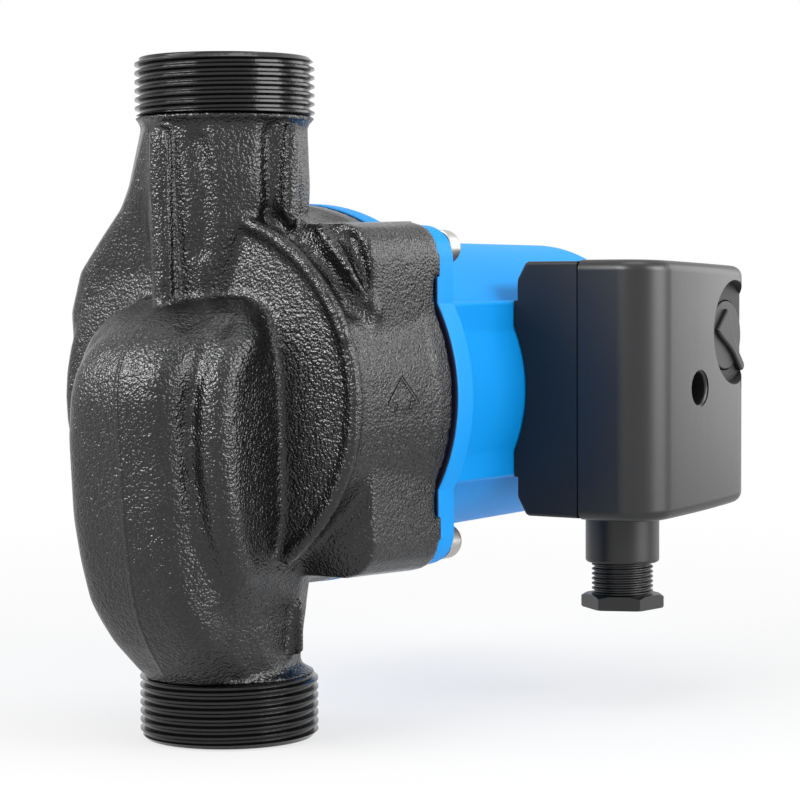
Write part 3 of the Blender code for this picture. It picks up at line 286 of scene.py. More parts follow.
class Finish(Graph):
    """A surface finish under construction."""

    def __init__(self, name):
        self.material = bpy.data.materials.new(name)
        self.material.use_nodes = True
        super().__init__(self.material.node_tree)
        self.shader = self.tree.nodes["Principled BSDF"]
        self.place = self.node("ShaderNodeTexCoord", out="Object")

    def split(self):
        """The three coordinates of the position on the pump, in metres."""
        parts = self.node("ShaderNodeSeparateXYZ", sockets={0: self.place})
        return [Wire(self, socket) for socket in parts.socket.node.outputs]

    def noise(self, grain, detail=2.0, rough=0.5):
        """Cloudy noise whose lumps are about the given size in millimetres."""
        return self.node(
            "ShaderNodeTexNoise",
            sockets={"Vector": self.place, "Scale": 0.6 / (grain * MM), "Detail": detail, "Roughness": rough},
        )

    def ramp(self, value, low, high):
        """Smooth step from 0 to 1 between two levels."""
        return self.node(
            "ShaderNodeMapRange", {"interpolation_type": "SMOOTHSTEP"},
            {"Value": value, "From Min": low, "From Max": high},
        )

    def groove(self, places, start, end, width):
        """One inside a line between two points of a plane, fading out over its width."""
        steps = [b - a for a, b in zip(start, end)]
        offsets = [place - a for place, a in zip(places, start)]
        along = (offsets[0] * steps[0] + offsets[1] * steps[1]) / (steps[0] ** 2 + steps[1] ** 2)
        along = along.reckon("MINIMUM", along.reckon("MAXIMUM", along, 0.0), 1.0)
        miss = [offset - along * step for offset, step in zip(offsets, steps)]
        return self.ramp((miss[0] * miss[0] + miss[1] * miss[1]) ** 0.5, width, width * 0.4)

    def blend(self, factor, first, second):
        """Mix of two colours."""
        sockets = {0: factor}
        for index, colour in ((6, first), (7, second)):
            sockets[index] = colour if isinstance(colour, Wire) else (*colour, 1.0)
        return self.node("ShaderNodeMix", {"data_type": "RGBA"}, sockets, out=2)

    def relief(self, height):
        """Bends the shading by a height in metres."""
        bump = self.node("ShaderNodeBump", sockets={"Strength": 1.0, "Distance": 1.0, "Height": height})
        self.feed(self.shader.inputs["Normal"], bump)

    def surface(self, **values):
        """Sets or links the shader's own sockets."""
        for key, value in values.items():
            socket = self.shader.inputs[key.replace("_", " ")]
            if not isinstance(value, Wire) and socket.type == "RGBA":
                value = (*value, 1.0)
            self.feed(socket, value)
        return self.material


def shade(colour, level):
    """A colour made lighter or darker."""
    return tuple(min(1.0, channel * level) for channel in colour)


def flow_arrow(finish, x, y, z):
    """Outline of the flow arrow in the casting's skirt on the box side."""
    across = abs(x - ARROW_TIP[0] * MM)
    corners = [(u * MM, (ARROW_TIP[1] - drop) * MM) for u, drop in ((0.0, 0.0), *ARROW_EDGE)]
    lines = [finish.groove((across, z), start, end, 0.0007) for start, end in zip(corners, corners[1:])]
    outline = lines[0]
    for line in lines[1:]:
        outline = outline.reckon("MAXIMUM", outline, line)
    return outline * (y < -0.04)


def cast_paint(settings):
    """Glossy paint over a coarse sand casting, with the mould's parting line and a flow arrow whose groove carries
    painted shade.
    """
    finish = Finish("cast_paint")
    x, y, z = finish.split()
    sand = finish.noise(0.42, 1.0, 0.5)
    pits = finish.noise(0.95, 1.0)
    swell = finish.noise(12.0, 2.0)
    seam = finish.ramp(abs(y - 0.0006), 0.0009, 0.0002) * (x < -0.018)
    arrow = flow_arrow(finish, x, y, z)
    height = settings.grain * (sand + 0.5 * pits) + 0.0005 * swell + 0.0003 * seam - 0.0009 * arrow
    finish.relief(height)
    # Tone varies with the sand grain; inside the arrow's groove the colour is darkened as painted shade.
    tint = finish.ramp(sand, 0.36, 0.68) * (1.0 - 0.8 * arrow)
    colour = finish.blend(tint, shade(settings.colour, 0.45), shade(settings.colour, 1.30))
    return finish.surface(Base_Color=colour, Roughness=0.15 + 0.12 * swell, IOR=1.47)


def thread_paint(settings):
    """The same paint on the cut threads, smoother and darker."""
    finish = Finish("thread_paint")
    cloud = finish.noise(6.0, 3.0)
    fine = finish.noise(0.7, 2.0)
    finish.relief(0.00005 * fine)
    colour = finish.blend(cloud, shade(settings.colour, 0.30), shade(settings.colour, 0.70))
    return finish.surface(Base_Color=colour, Roughness=0.12 + 0.12 * cloud, IOR=1.44)


def motor_paint(settings):
    """Satin sprayed paint with a faint orange peel, and painted shade on the joint face where the gap to the casing
    lies in shadow.
    """
    finish = Finish("motor_paint")
    x = finish.split()[0]
    peel = finish.noise(1.6, 2.0)
    cloud = finish.noise(30.0, 2.0)
    finish.relief(0.000035 * peel)
    colour = finish.blend(cloud, shade(settings.colour, 0.94), shade(settings.colour, 1.06))
    # Painted shade: the joint face, which lies in shadow behind the gap to the casing, is coloured a dark shaded blue.
    joint = finish.ramp(x, (HOUSING_LOW.x + 0.5) * MM, (HOUSING_LOW.x + 0.2) * MM)
    colour = finish.blend(joint, colour, (0.010, 0.009, 0.030))
    return finish.surface(Base_Color=colour, Roughness=0.46 + 0.10 * cloud, IOR=1.28)


def moulding(name, colour, gloss, grain, recess=None):
    """Moulded plastic with a fine spark-eroded grain, duller in a round recess of the front."""
    finish = Finish(name)
    fine = finish.noise(0.35, 2.0, 0.6)
    cloud = finish.noise(22.0, 2.0)
    finish.relief(grain * MM * fine)
    tint = finish.blend(0.5 * fine + 0.5 * cloud, shade(colour, 0.82), shade(colour, 1.18))
    roughness = gloss - 0.05 + 0.10 * cloud
    if recess:
        centre, radius, face = recess
        x, y, z = finish.split()
        aside = x - centre.x * MM
        above = z - centre.z * MM
        dull = (aside * aside + above * above < (radius * MM) ** 2) * (y > face * MM)
        roughness = roughness + 0.30 * dull
    return finish.surface(Base_Color=tint, Roughness=roughness, IOR=1.48)


def metal(name, colour, gloss):
    """Bright metal with faint clouding and a fine grain."""
    finish = Finish(name)
    cloud = finish.noise(3.0, 3.0)
    fine = finish.noise(0.3, 2.0)
    finish.relief(0.000012 * fine)
    tint = finish.blend(cloud, shade(colour, 0.86), shade(colour, 1.10))
    return finish.surface(Base_Color=tint, Metallic=1.0, Roughness=gloss - 0.06 + 0.14 * cloud)


def turned_metal(name, colour, gloss):
    """Metal with the rings of a lathe tool round the motor axis."""
    finish = Finish(name)
    y, z = finish.split()[1:]
    radius = (y * y + z * z) ** 0.5
    rings = radius.reckon("SINE", radius * 9000.0)
    cloud = finish.noise(4.0, 3.0)
    finish.relief(0.000006 * rings)
    tint = finish.blend(cloud, shade(colour, 0.84), shade(colour, 1.10))
    return finish.surface(Base_Color=tint, Metallic=1.0, Roughness=gloss - 0.05 + 0.12 * cloud)


def laminations():
    """Edges of thin steel sheets stacked along the motor axis."""
    finish = Finish("lamination_steel")
    x = finish.split()[0]
    sheets = x.reckon("SINE", x * 9000.0)
    cloud = finish.noise(8.0, 3.0)
    finish.relief(0.00004 * sheets)
    tint = finish.blend(0.5 + 0.5 * sheets, (0.10, 0.10, 0.105), (0.34, 0.34, 0.35))
    return finish.surface(Base_Color=tint, Metallic=1.0, Roughness=0.38 + 0.15 * cloud)


def winding_copper():
    """Varnished copper wire laid side by side round the bore."""
    finish = Finish("winding_copper")
    x, y, z = finish.split()
    drift = finish.noise(9.0, 2.0)
    radius = (y * y + z * z) ** 0.5
    wires = radius.reckon("SINE", (radius + 0.6 * x) * 7000.0 + drift * 5.0)
    finish.relief(0.0001 * wires)
    tint = finish.blend(0.5 + 0.5 * wires, (0.16, 0.045, 0.016), (0.52, 0.19, 0.075))
    return finish.surface(Base_Color=tint, Metallic=0.85, Roughness=0.30 + 0.15 * drift)


def soft_rubber(name, level):
    """Dull black rubber."""
    finish = Finish(name)
    cloud = finish.noise(2.5, 3.0)
    finish.relief(0.00003 * cloud)
    tint = finish.blend(cloud, (level * 0.7,) * 3, (level * 1.3,) * 3)
    return finish.surface(Base_Color=tint, Roughness=0.66 + 0.16 * cloud)


def settle(piece=None):
    """Object mode with nothing selected, or with one piece selected and active."""
    if bpy.context.mode != "OBJECT":
        bpy.ops.object.mode_set(mode="OBJECT")
    bpy.ops.object.select_all(action="DESELECT")
    if piece is not None:
        piece.select_set(True)
        bpy.context.view_layer.objects.active = piece


def new_piece(name):
    """The object that was just added, named and with its place put into its mesh."""
    piece = bpy.context.object
    piece.name = name
    piece.data.name = name
    bpy.ops.object.transform_apply(location=True, rotation=True, scale=True)
    return piece


def block(name, low, high):
    """A box between two corners."""
    settle()
    low = Vector(low) * MM
    high = Vector(high) * MM
    bpy.ops.mesh.primitive_cube_add(size=1.0, location=(low + high) / 2, scale=high - low)
    return new_piece(name)


def trace(name, places):
    """A line of edges through places, left in edit mode with all of it selected."""
    settle()
    bpy.ops.mesh.primitive_plane_add(size=MM)
    piece = new_piece(name)
    bpy.ops.object.mode_set(mode="EDIT")
    bpy.ops.mesh.select_mode(type="VERT")
    bpy.ops.mesh.select_all(action="SELECT")
    bpy.ops.mesh.merge(type="CENTER")
    bpy.ops.transform.translate(value=places[0])
    for here, there in zip(places, places[1:]):
        bpy.ops.mesh.extrude_vertices_move(TRANSFORM_OT_translate={"value": there - here})
    bpy.ops.mesh.select_all(action="SELECT")
    return piece


def weld():
    """Selects all of the mesh in edit mode and merges its doubles."""
    bpy.ops.mesh.select_all(action="SELECT")
    bpy.ops.mesh.remove_doubles(threshold=WELD)


def clean_mesh():
    """Merges doubles and points the faces of the mesh in edit mode outwards."""
    weld()
    bpy.ops.mesh.normals_make_consistent(inside=False)
    bpy.ops.object.mode_set(mode="OBJECT")


def turn(name, profile, point=(0, 0, 0), axis=X_AXIS, steps=96):
    """Spins a line of (along, radius) points round an axis."""
    axis = Vector(axis)
    side = axis.orthogonal().normalized()
    centre = Vector(point)
    piece = trace(name, [(centre + axis * a + side * r) * MM for a, r in profile])
    bpy.ops.mesh.spin(steps=steps, angle=2 * math.pi, center=centre * MM, axis=axis)
    clean_mesh()
    return piece


def rod(name, point, axis, start, end, radius, steps=64):
    """Solid cylinder along an axis."""
    return turn(name, [(start, 0), (start, radius), (end, radius), (end, 0)], point, axis, steps)


def hoop(name, start, end, inner, outer):
    """Square ring round the motor axis."""
    return turn(name, [(start, inner), (start, outer), (end, outer), (end, inner), (start, inner)])


def capsule(name, start, end, radius):
    """Round-ended bar between two points."""
    start = Vector(start)
    reach = Vector(end) - start
    profile = arc((0, 0), radius, 180, 90, 6) + arc((reach.length, 0), radius, 90, 0, 6)
    return turn(name, profile, start, reach.normalized(), 20)


def slab(name, outline, depth):
    """Fills a closed outline of places and draws it out by a vector."""
    places = [Vector(p) * MM for p in outline]
    piece = trace(name, places + places[:1])
    weld()
    bpy.ops.mesh.edge_face_add()
    bpy.ops.mesh.extrude_region_move(TRANSFORM_OT_translate={"value": Vector(depth) * MM})
    clean_mesh()
    return piece


def arc(centre, radius, start, end, count):
    """Points of a circular arc, angles in degrees."""
    turns = [math.radians(start + (end - start) * i / (count - 1)) for i in range(count)]
    return [(centre[0] + radius * math.cos(t), centre[1] + radius * math.sin(t)) for t in turns]


def apply_step(piece, kind, **settings):
    """Adds a modifier and applies it."""
    settle(piece)
    step = piece.modifiers.new(kind.lower(), kind)
    for key, value in settings.items():
        setattr(step, key, value)
    bpy.ops.object.modifier_apply(modifier=step.name)


def fuse(piece, *tools):
    """Joins solids into a piece."""
    for tool in tools:
        apply_step(piece, "BOOLEAN", operation="UNION", solver="EXACT", object=tool)
        bpy.data.objects.remove(tool)


def carve(piece, *tools):
    """Cuts solids out of a piece."""
    for tool in tools:
        apply_step(piece, "BOOLEAN", operation="DIFFERENCE", solver="EXACT", object=tool)
        bpy.data.objects.remove(tool)


def keep_within(piece, tool):
    """Keeps what a piece and a solid share."""
    apply_step(piece, "BOOLEAN", operation="INTERSECT", solver="EXACT", object=tool)
    bpy.data.objects.remove(tool)


def open_mesh(piece):
    """Opens a piece in edit mode with nothing selected."""
    settle(piece)
    bpy.ops.object.mode_set(mode="EDIT")
    bpy.ops.mesh.select_mode(type="VERT")
    bpy.ops.mesh.select_all(action="DESELECT")
    return bmesh.from_edit_mesh(piece.data)


def round_edges(piece, test, width, segments=4):
    """Rounds the edges whose ends, in millimetres, pass a test."""
    mesh = open_mesh(piece)
    bpy.ops.mesh.select_mode(type="EDGE")
    for edge in mesh.edges:
        edge.select_set(test(edge.verts[0].co / MM, edge.verts[1].co / MM))
    bmesh.update_edit_mesh(piece.data)
    bpy.ops.mesh.bevel(offset=width * MM, segments=segments, affect="EDGES")
    bpy.ops.object.mode_set(mode="OBJECT")


def close_cuts(piece):
    """Merges the doubled corners of a cut piece and fills the slivers left open."""
    open_mesh(piece)
    weld()
    bpy.ops.mesh.fill_holes(sides=0)
    clean_mesh()


def soften(piece, weight, passes):
    """Smooths the skin of a piece where a weight, from 0 to 1, says."""
    group = piece.vertex_groups.new(name="soft")
    for vert in piece.data.vertices:
        group.add([vert.index], weight(vert.co / MM), "REPLACE")
    apply_step(piece, "SMOOTH", factor=0.5, iterations=passes, vertex_group=group.name)
    piece.vertex_groups.clear()


def fade(value, none, full):
    """Share from 0 to 1 between two levels."""
    return max(0.0, min(1.0, (value - none) / (full - none)))


def gap_to(path, spot):
    """Distance of a place from a path of straight legs."""
    gaps = []
    for start, end in zip(path, path[1:]):
        leg = end - start
        share = fade((spot - start).dot(leg), 0.0, leg.length_squared)
        gaps.append((start + share * leg - spot).length)
    return min(gaps)


def emboss(piece, rise, reach, core, path):
    """Raises the skin of a piece along a path, or sinks it where the rise is below zero."""
    path = [Vector(p) for p in path]
    low = [min(p[i] for p in path) - reach for i in range(3)]
    high = [max(p[i] for p in path) + reach for i in range(3)]
    group = piece.vertex_groups.new(name="relief")
    for vert in piece.data.vertices:
        spot = vert.co / MM
        if all(a < v < b for a, v, b in zip(low, spot, high)):
            share = fade(gap_to(path, spot), reach, core)
            group.add([vert.index], share * share * (3 - 2 * share), "REPLACE")
    apply_step(piece, "DISPLACE", strength=rise * MM, mid_level=0.0, vertex_group=group.name)
    piece.vertex_groups.clear()


def dress(piece, body, material, slot, *nodes, angle=32, weighted=True):
    """Shades a finished piece, gives it its material and hangs it on its body."""
    settle(piece)
    bpy.ops.object.shade_smooth_by_angle(angle=math.radians(angle))
    if weighted:
        apply_step(piece, "WEIGHTED_NORMAL", keep_sharp=True)
    piece.data.materials.clear()
    piece.data.materials.append(material)
    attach(piece, body)
    if nodes:
        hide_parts(*nodes)
    return piece


def copy_of(piece, name):
    """A copy with a mesh of its own."""
    twin = piece.copy()
    twin.data = piece.data.copy()
    twin.name = name
    twin.data.name = name
    bpy.context.scene.collection.objects.link(twin)
    return twin


def move(piece, place):
    """Moves a piece and puts its place into its mesh."""
    settle(piece)
    piece.location = [value * MM for value in place]
    bpy.ops.object.transform_apply(location=True)


def solid_copy(node, name):
    """A copy of a packed solid, free of its body and merged."""
    piece = copy_of(frame["nodes"][node], name)
    piece.parent = None
    for key in list(piece.keys()):
        del piece[key]
    open_mesh(piece)
    weld()
    bpy.ops.object.mode_set(mode="OBJECT")
    return piece


def cut_off(piece, point, normal):
    """Cuts away what lies beyond a plane and closes the cut."""
    open_mesh(piece)
    bpy.ops.mesh.select_all(action="SELECT")
    bpy.ops.mesh.bisect(
        plane_co=Vector(point) * MM, plane_no=normal, use_fill=True, clear_outer=True, threshold=0.0000005,
    )
    bpy.ops.object.mode_set(mode="OBJECT")


def thread_rod(name, radius, pitch, depth, start, end, steps=80):
    """Solid screw thread along Z with rounded crests and roots."""
    count = 8
    places = []
    for i in range(count + 1):
        wave = 0.5 - 0.5 * math.cos(2 * math.pi * i / count)
        wave = max(0.0, min(1.0, 0.5 + (wave - 0.5) * 1.35))
        places.append(Vector((radius - depth * (1 - wave), 0, start - 2 * pitch + pitch * i / count)) * MM)
    piece = trace(name, places)
    bpy.ops.object.mode_set(mode="OBJECT")
    turns = math.ceil((end - start) / pitch) + 4
    apply_step(
        piece, "SCREW", axis="Z", angle=2 * math.pi, screw_offset=pitch * MM, iterations=turns,
        steps=steps, render_steps=steps, use_merge_vertices=True, merge_threshold=WELD,
    )
    cut_off(piece, (0, 0, end), (0, 0, 1))
    cut_off(piece, (0, 0, start), (0, 0, -1))
    open_mesh(piece)
    clean_mesh()
    return piece


# Ribs: start, end and radius of each bar.
CAST_RIBS = (
    ((-20.1, 3.9, 24.0), (-22.1, 3.9, 68.0), 2.7),
    ((-1.9, -21.6, 47.0), (-1.9, -22.2, 68.0), 2.4),
    ((0.6, -31.2, 44.2), (-1.4, -36.6, 39.6), 1.5),
    ((-1.4, -36.6, 39.6), (-0.9, -40.7, 34.5), 1.6),
    ((-0.9, -40.7, 34.5), (0.5, -43.9, 29.3), 1.6),
    ((0.5, -43.9, 29.3), (3.6, -45.6, 23.6), 1.4),
)
# Reliefs: rise, reach, width of the full rise and the path of each form.
BELLY_RELIEF = (
    (2.4, 5.4, 0.4, (
        (-33.6, -12.4, 15.0), (-36.0, -11.8, 8.0), (-36.4, -11.0, -4.0), (-36.4, -11.0, -14.0), (-36.2, -11.8, -26.0),
    )),
    (2.0, 8.6, 0.5, (
        (-24.0, -23.4, 17.0), (-29.5, -23.4, 11.5), (-33.0, -22.8, 5.5), (-34.0, -22.6, -1.0), (-34.0, -22.8, -8.5),
        (-33.2, -23.0, -18.6), (-31.2, -23.0, -31.4), (-25.0, -22.4, -45.0),
    )),
)
BELLY_VALLEY = tuple(Vector(p) for p in (
    (-27.0, -19.6, 20.4), (-30.4, -19.2, 17.6), (-33.2, -18.2, 13.0), (-35.3, -16.6, 5.5), (-35.9, -15.4, -2.0),
    (-35.8, -15.4, -8.6), (-35.2, -15.8, -16.2), (-35.3, -16.9, -23.7), (-34.4, -18.0, -35.1), (-29.4, -19.6, -46.9),
))
CAST_RELIEF = (
    (1.5, 3.0, 1.9, ((-23.4, 3.0, 68.5), (-22.5, 3.7, 39.3), (-22.1, 3.9, 26.0))),
    (1.3, 2.6, 1.0, ((-2.6, -23.2, 70.0), (-3.3, -23.7, 57.3), (-3.4, -23.7, 46.4))),
    (-0.9, 2.4, 0.4, ((-7.9, -19.8, 69.0), (-7.4, -19.4, 57.3), (-6.4, -18.9, 50.8))),
    (-1.4, 4.5, 0.4, ((-20.5, -6.0, 67.0), (-19.5, -8.4, 54.6), (-19.0, -7.6, 44.4), (-18.6, -6.6, 39.3))),
    (-1.3, 3.6, 0.4, (
        (-6.3, -18.4, 48.5), (-4.6, -22.6, 44.9), (-2.6, -26.0, 41.6), (-3.6, -32.3, 37.0), (-3.7, -37.6, 31.4),
        (-3.9, -42.3, 23.7),
    )),
    (1.0, 2.4, 0.4, (
        (-12.4, -15.0, 47.0), (-12.0, -23.2, 43.5), (-11.9, -32.3, 37.2), (-11.9, -38.5, 30.6), (-11.9, -43.2, 23.5),
        (-11.9, -46.4, 16.5),
    )),
    (1.0, 2.0, 0.4, (
        (0.3, -30.2, 44.8), (-2.0, -36.8, 39.1), (-1.6, -40.9, 34.4), (-0.1, -44.1, 28.8), (3.4, -46.1, 22.6),
    )),
    (-2.2, 3.0, 0.6, ((-0.2, -39.6, 42.2), (-0.4, -42.9, 36.6), (0.4, -44.8, 28.6))),
    (0.8, 1.7, 0.3, ((1.4, -44.8, 41.0), (0.9, -45.7, 36.0), (1.0, -45.8, 28.0))),
)


class PUMP_OT_casing(Operator):
    """Cast volute casing, its edges softened and its ports cut off for their threads"""

    bl_idname = "pump.casing"
    bl_label = "Volute casing"

    def execute(self, context):
        settings = context.scene.pump_casting
        casing = solid_copy("volute_casing", "cast_casing")
        cut_off(casing, (0, 0, UPPER_COLLAR), (0, 0, 1))
        cut_off(casing, (0, 0, LOWER_COLLAR), (0, 0, -1))
        fuse(casing, *(capsule("rib", *rib) for rib in CAST_RIBS))
        fuse(casing, hoop("rim", 24.0, 31.3, 46.5, 51.6))
        lip = hoop("lip", 26.0, 32.1, 47.5, 52.2)
        carve(lip, block("side", (20.0, -60.0, -41.0), (40.0, 60.0, 41.0)))
        fuse(casing, lip)
        apply_step(casing, "REMESH", mode="VOXEL", voxel_size=settings.skin, use_smooth_shade=True)
        apply_step(casing, "SMOOTH", factor=0.5, iterations=settings.softness)
        for relief in BELLY_RELIEF:
            emboss(casing, *relief)
        soften(
            casing,
            lambda p: fade(-p.x, 14.0, 22.0) * fade(p.z, -64.0, -54.0) * fade(-p.z, -29.0, -21.0),
            settings.blend,
        )
        soften(
            casing,
            lambda p: fade(-p.x, 22.0, 27.0) and fade(abs(p.y + 15.0), 14.0, 12.0)
            and fade(gap_to(BELLY_VALLEY, p), 9.0, 4.0),
            settings.valley,
        )
        emboss(casing, -1.1, 4.8, 0.4, BELLY_VALLEY)
        for relief in CAST_RELIEF:
            emboss(casing, *relief)
        apply_step(casing, "SMOOTH", factor=0.5, iterations=1)
        dress(casing, "pump", cast_paint(settings), "casing", "volute_casing", angle=180, weighted=False)
        return {"FINISHED"}


class PUMP_OT_port_threads(Operator):
    """Threaded pipe ends with their bores"""

    bl_idname = "pump.port_threads"
    bl_label = "Port threads"

    def execute(self, context):
        settings = context.scene.pump_threads
        face = CASING_HIGH.z
        upper = self.pipe_end("discharge_thread", settings, face - UPPER_COLLAR - 0.3)
        lower = self.pipe_end("suction_thread", settings, face + LOWER_COLLAR - 0.3)
        open_mesh(lower)
        bpy.ops.mesh.select_all(action="SELECT")
        bpy.ops.transform.rotate(value=math.pi, orient_axis="X", center_override=(0, 0, 0))
        bpy.ops.object.mode_set(mode="OBJECT")
        paint = thread_paint(context.scene.pump_casting)
        for piece in (upper, lower):
            dress(piece, "pump", paint, "casing", angle=40)
        return {"FINISHED"}

    def pipe_end(self, name, settings, length):
        """One threaded end with its bore, at the upper port."""
        face = CASING_HIGH.z
        foot = face - length
        radius = PORT_RADIUS
        bore = settings.port_bore / 2 / MM
        end = thread_rod(name, radius, settings.port_pitch / MM, settings.port_depth / MM, foot - 2.5, face)
        keep_within(end, turn(
            "envelope",
            [(foot - 2.0, 0), (foot - 2.0, 19.0), (foot - 0.6, 21.4), (foot, radius), (face - 1.4, radius + 0.02),
             (face, radius - 1.4), (face, 0)],
            axis=Z_AXIS, steps=80,
        ))
        carve(end, turn(
            "passage",
            [(foot - 4.0, 0), (foot - 4.0, bore), (face - 0.7, bore), (face, bore + 0.7), (face + 2.0, bore + 0.7),
             (face + 2.0, 0)],
            axis=Z_AXIS, steps=80,
        ))
        return end


class PUMP_OT_motor_housing(Operator):
    """Painted motor housing with its flange and pad"""

    bl_idname = "pump.motor_housing"
    bl_label = "Motor housing"

    def execute(self, context):
        settings = context.scene.pump_motor
        edge = settings.edge / MM
        cove = settings.cove / MM
        nose = settings.nose / MM
        front = HOUSING_LOW.x
        back = front + 8.6
        end = HOUSING_HIGH.x
        rim = HOUSING_HIGH.y
        root = 42.6
        tail = root - 0.7
        profile = [(front, 0)]
        profile += arc((front + edge, rim - edge), edge, 180, 90, 5)
        profile += arc((back - edge, rim - edge), edge, 90, 0, 5)
        profile += arc((back + cove, root + cove), cove, 180, 270, 9)
        profile += arc((end - nose, tail - nose), nose, 90, 0, 9)
        profile += [(end, 14.0), (end - 0.5, 13.6), (end - 0.5, 0)]
        housing = turn("motor_shell", profile, steps=128)
        half = 46.0
        square = block("flange", (front, -half, -half), (back, half, half))
        round_edges(square, lambda a, b: abs(a.x - b.x) > 1, 9.0, 8)
        round_edges(square, lambda a, b: abs(a.x - b.x) < 0.01, edge, 4)
        pad = block("pad", (front + 2.0, PAD_FACE, -PAD_HALF), (152.0, 0, PAD_HALF))
        round_edges(pad, lambda a, b: abs(a.x - b.x) > 1 and a.y < -30, 1.4, 4)
        web = [(back - 2.0, -38.0), (back - 2.0, PAD_FACE - cove)]
        web += arc((back + cove, PAD_FACE - cove), cove, 180, 90, 9)
        web += [(back + cove, -38.0)]
        fillet = slab("fillet", [(x, y, -PAD_HALF) for x, y in web], (0, 0, 2 * PAD_HALF))
        fuse(housing, square, pad, fillet)
        carve(housing, rod("cavity", (0, 0, 0), X_AXIS, front - 4.0, end - 4.0, 39.5, 96))
        carve(housing, rod("neck", (0, 0, 0), X_AXIS, end - 8.0, end + 4.0, 10.3, 64))
        dress(housing, "pump", motor_paint(settings), "motor_paint", "motor_housing")
        return {"FINISHED"}


class PUMP_OT_flange_screws(Operator):
    """Four domed socket screws that clamp the flange"""

    bl_idname = "pump.flange_screws"
    bl_label = "Flange screws"

    def execute(self, context):
        low, high = box_mm("flange_screw_1")
        seat = high.x - 6.6
        head = (high.y - low.y) / 2
        profile = [(low.x, 0), (low.x, 2.0), (low.x + 0.6, 2.5), (seat, 2.5), (seat, head - 0.25), (seat + 0.25, head)]
        profile += [(seat + 3.8, head)]
        profile += [
            (seat + 3.8 + 2.8 * math.sin(math.radians(a)), head * 0.56 + head * 0.44 * math.cos(math.radians(a)))
            for a in range(10, 91, 10)
        ]
        profile += [(high.x, 0)]
        first = turn("screw_pattern", profile, (0, 0, 0), X_AXIS, 48)
        socket = rod("socket", (0, 0, 0), X_AXIS, high.x - 2.6, high.x + 2.0, 2.3, 6)
        carve(first, socket)
        zinc = metal("screw_zinc", (0.50, 0.48, 0.46), 0.36)
        for index in range(4):
            node = "flange_screw_%d" % (index + 1)
            low, high = box_mm(node)
            centre = (low + high) / 2
            piece = copy_of(first, "clamp_screw_%d" % (index + 1))
            move(piece, (0, centre.y, centre.z))
            dress(piece, "pump", zinc, "zinc", node)
        bpy.data.objects.remove(first)
        return {"FINISHED"}


class PUMP_OT_vent_plug(Operator):
    """Slotted vent plug at the motor end"""

    bl_idname = "pump.vent_plug"
    bl_label = "Vent plug"

    def execute(self, context):
        end = PLUG_HIGH.x
        seat = end - 3.2
        head = PLUG_HIGH.y
        profile = [(PLUG_LOW.x, 0), (PLUG_LOW.x, 8.5), (PLUG_LOW.x + 0.5, 9.0), (seat, 9.0), (seat, head - 0.4)]
        profile += [(seat + 0.4, head)]
        profile += arc((end - 1.0, head - 1.0), 1.0, 90, 0, 6)
        profile += [(end, 5.2), (end - 0.3, 4.8), (end - 0.3, 0)]
        plug = turn("bleed_plug", profile, steps=80)
        carve(plug, block("slot", (end - 1.7, -1.1, -head - 2.0), (end + 2.0, 1.1, head + 2.0)))
        dress(plug, "vent", turned_metal("plug_brass", (0.72, 0.52, 0.25), 0.28), "plug_brass", "vent_plug")
        return {"FINISHED"}


class PUMP_OT_terminal_base(Operator):
    """Moulded tray of the terminal box, saddled on the motor"""

    bl_idname = "pump.terminal_base"
    bl_label = "Terminal base"

    def execute(self, context):
        settings = context.scene.pump_box
        wall = settings.wall / MM
        rim = (BASE_LOW.y + COVER_HIGH.y) / 2 + settings.seam / 2 / MM
        half = BASE_HIGH.z
        foot = BASE_HIGH.y
        shelf = foot - 1.2
        saddle = 42.9
        edge = math.degrees(math.asin(-foot / saddle))
        bow = [(-y, z) for z, y in arc((0, 0), saddle, edge, 180 - edge, 25)]
        upper = [(rim, half), (shelf - 3.2, half), (shelf - 2.2, half - 0.5), (shelf, half - 4.4)]
        upper += [(shelf, PAD_HALF), (foot, PAD_HALF)]
        outline = upper + bow + [(y, -z) for y, z in reversed(upper)]
        x0 = BASE_LOW.x
        x1 = BASE_HIGH.x
        base = slab("terminal_tray", [(x0, y, z) for y, z in outline], (x1 - x0, 0, 0))
        ends = (x0, x1)
        round_edges(
            base,
            lambda a, b: any(abs(a.x - e) < 0.01 and abs(b.x - e) < 0.01 for e in ends)
            and min(abs(a.z), abs(b.z)) > half - 5.0 and a.z * b.z > 0,
            1.0, 4,
        )
        room = block("room", (x0 + wall, rim - 4.0, -half + wall), (x1 - wall, -45.9, half - wall))
        carve(base, room)
        carve(base, rod("gland", GLAND_AXIS, DOWN_AXIS, 20.0, half + 6.0, GLAND_HOLE, 64))
        plastic = moulding("tray_moulding", shade(settings.colour, 0.55), 0.45, 0.010)
        dress(base, "pump", plastic, "moulding", "terminal_base")
        return {"FINISHED"}


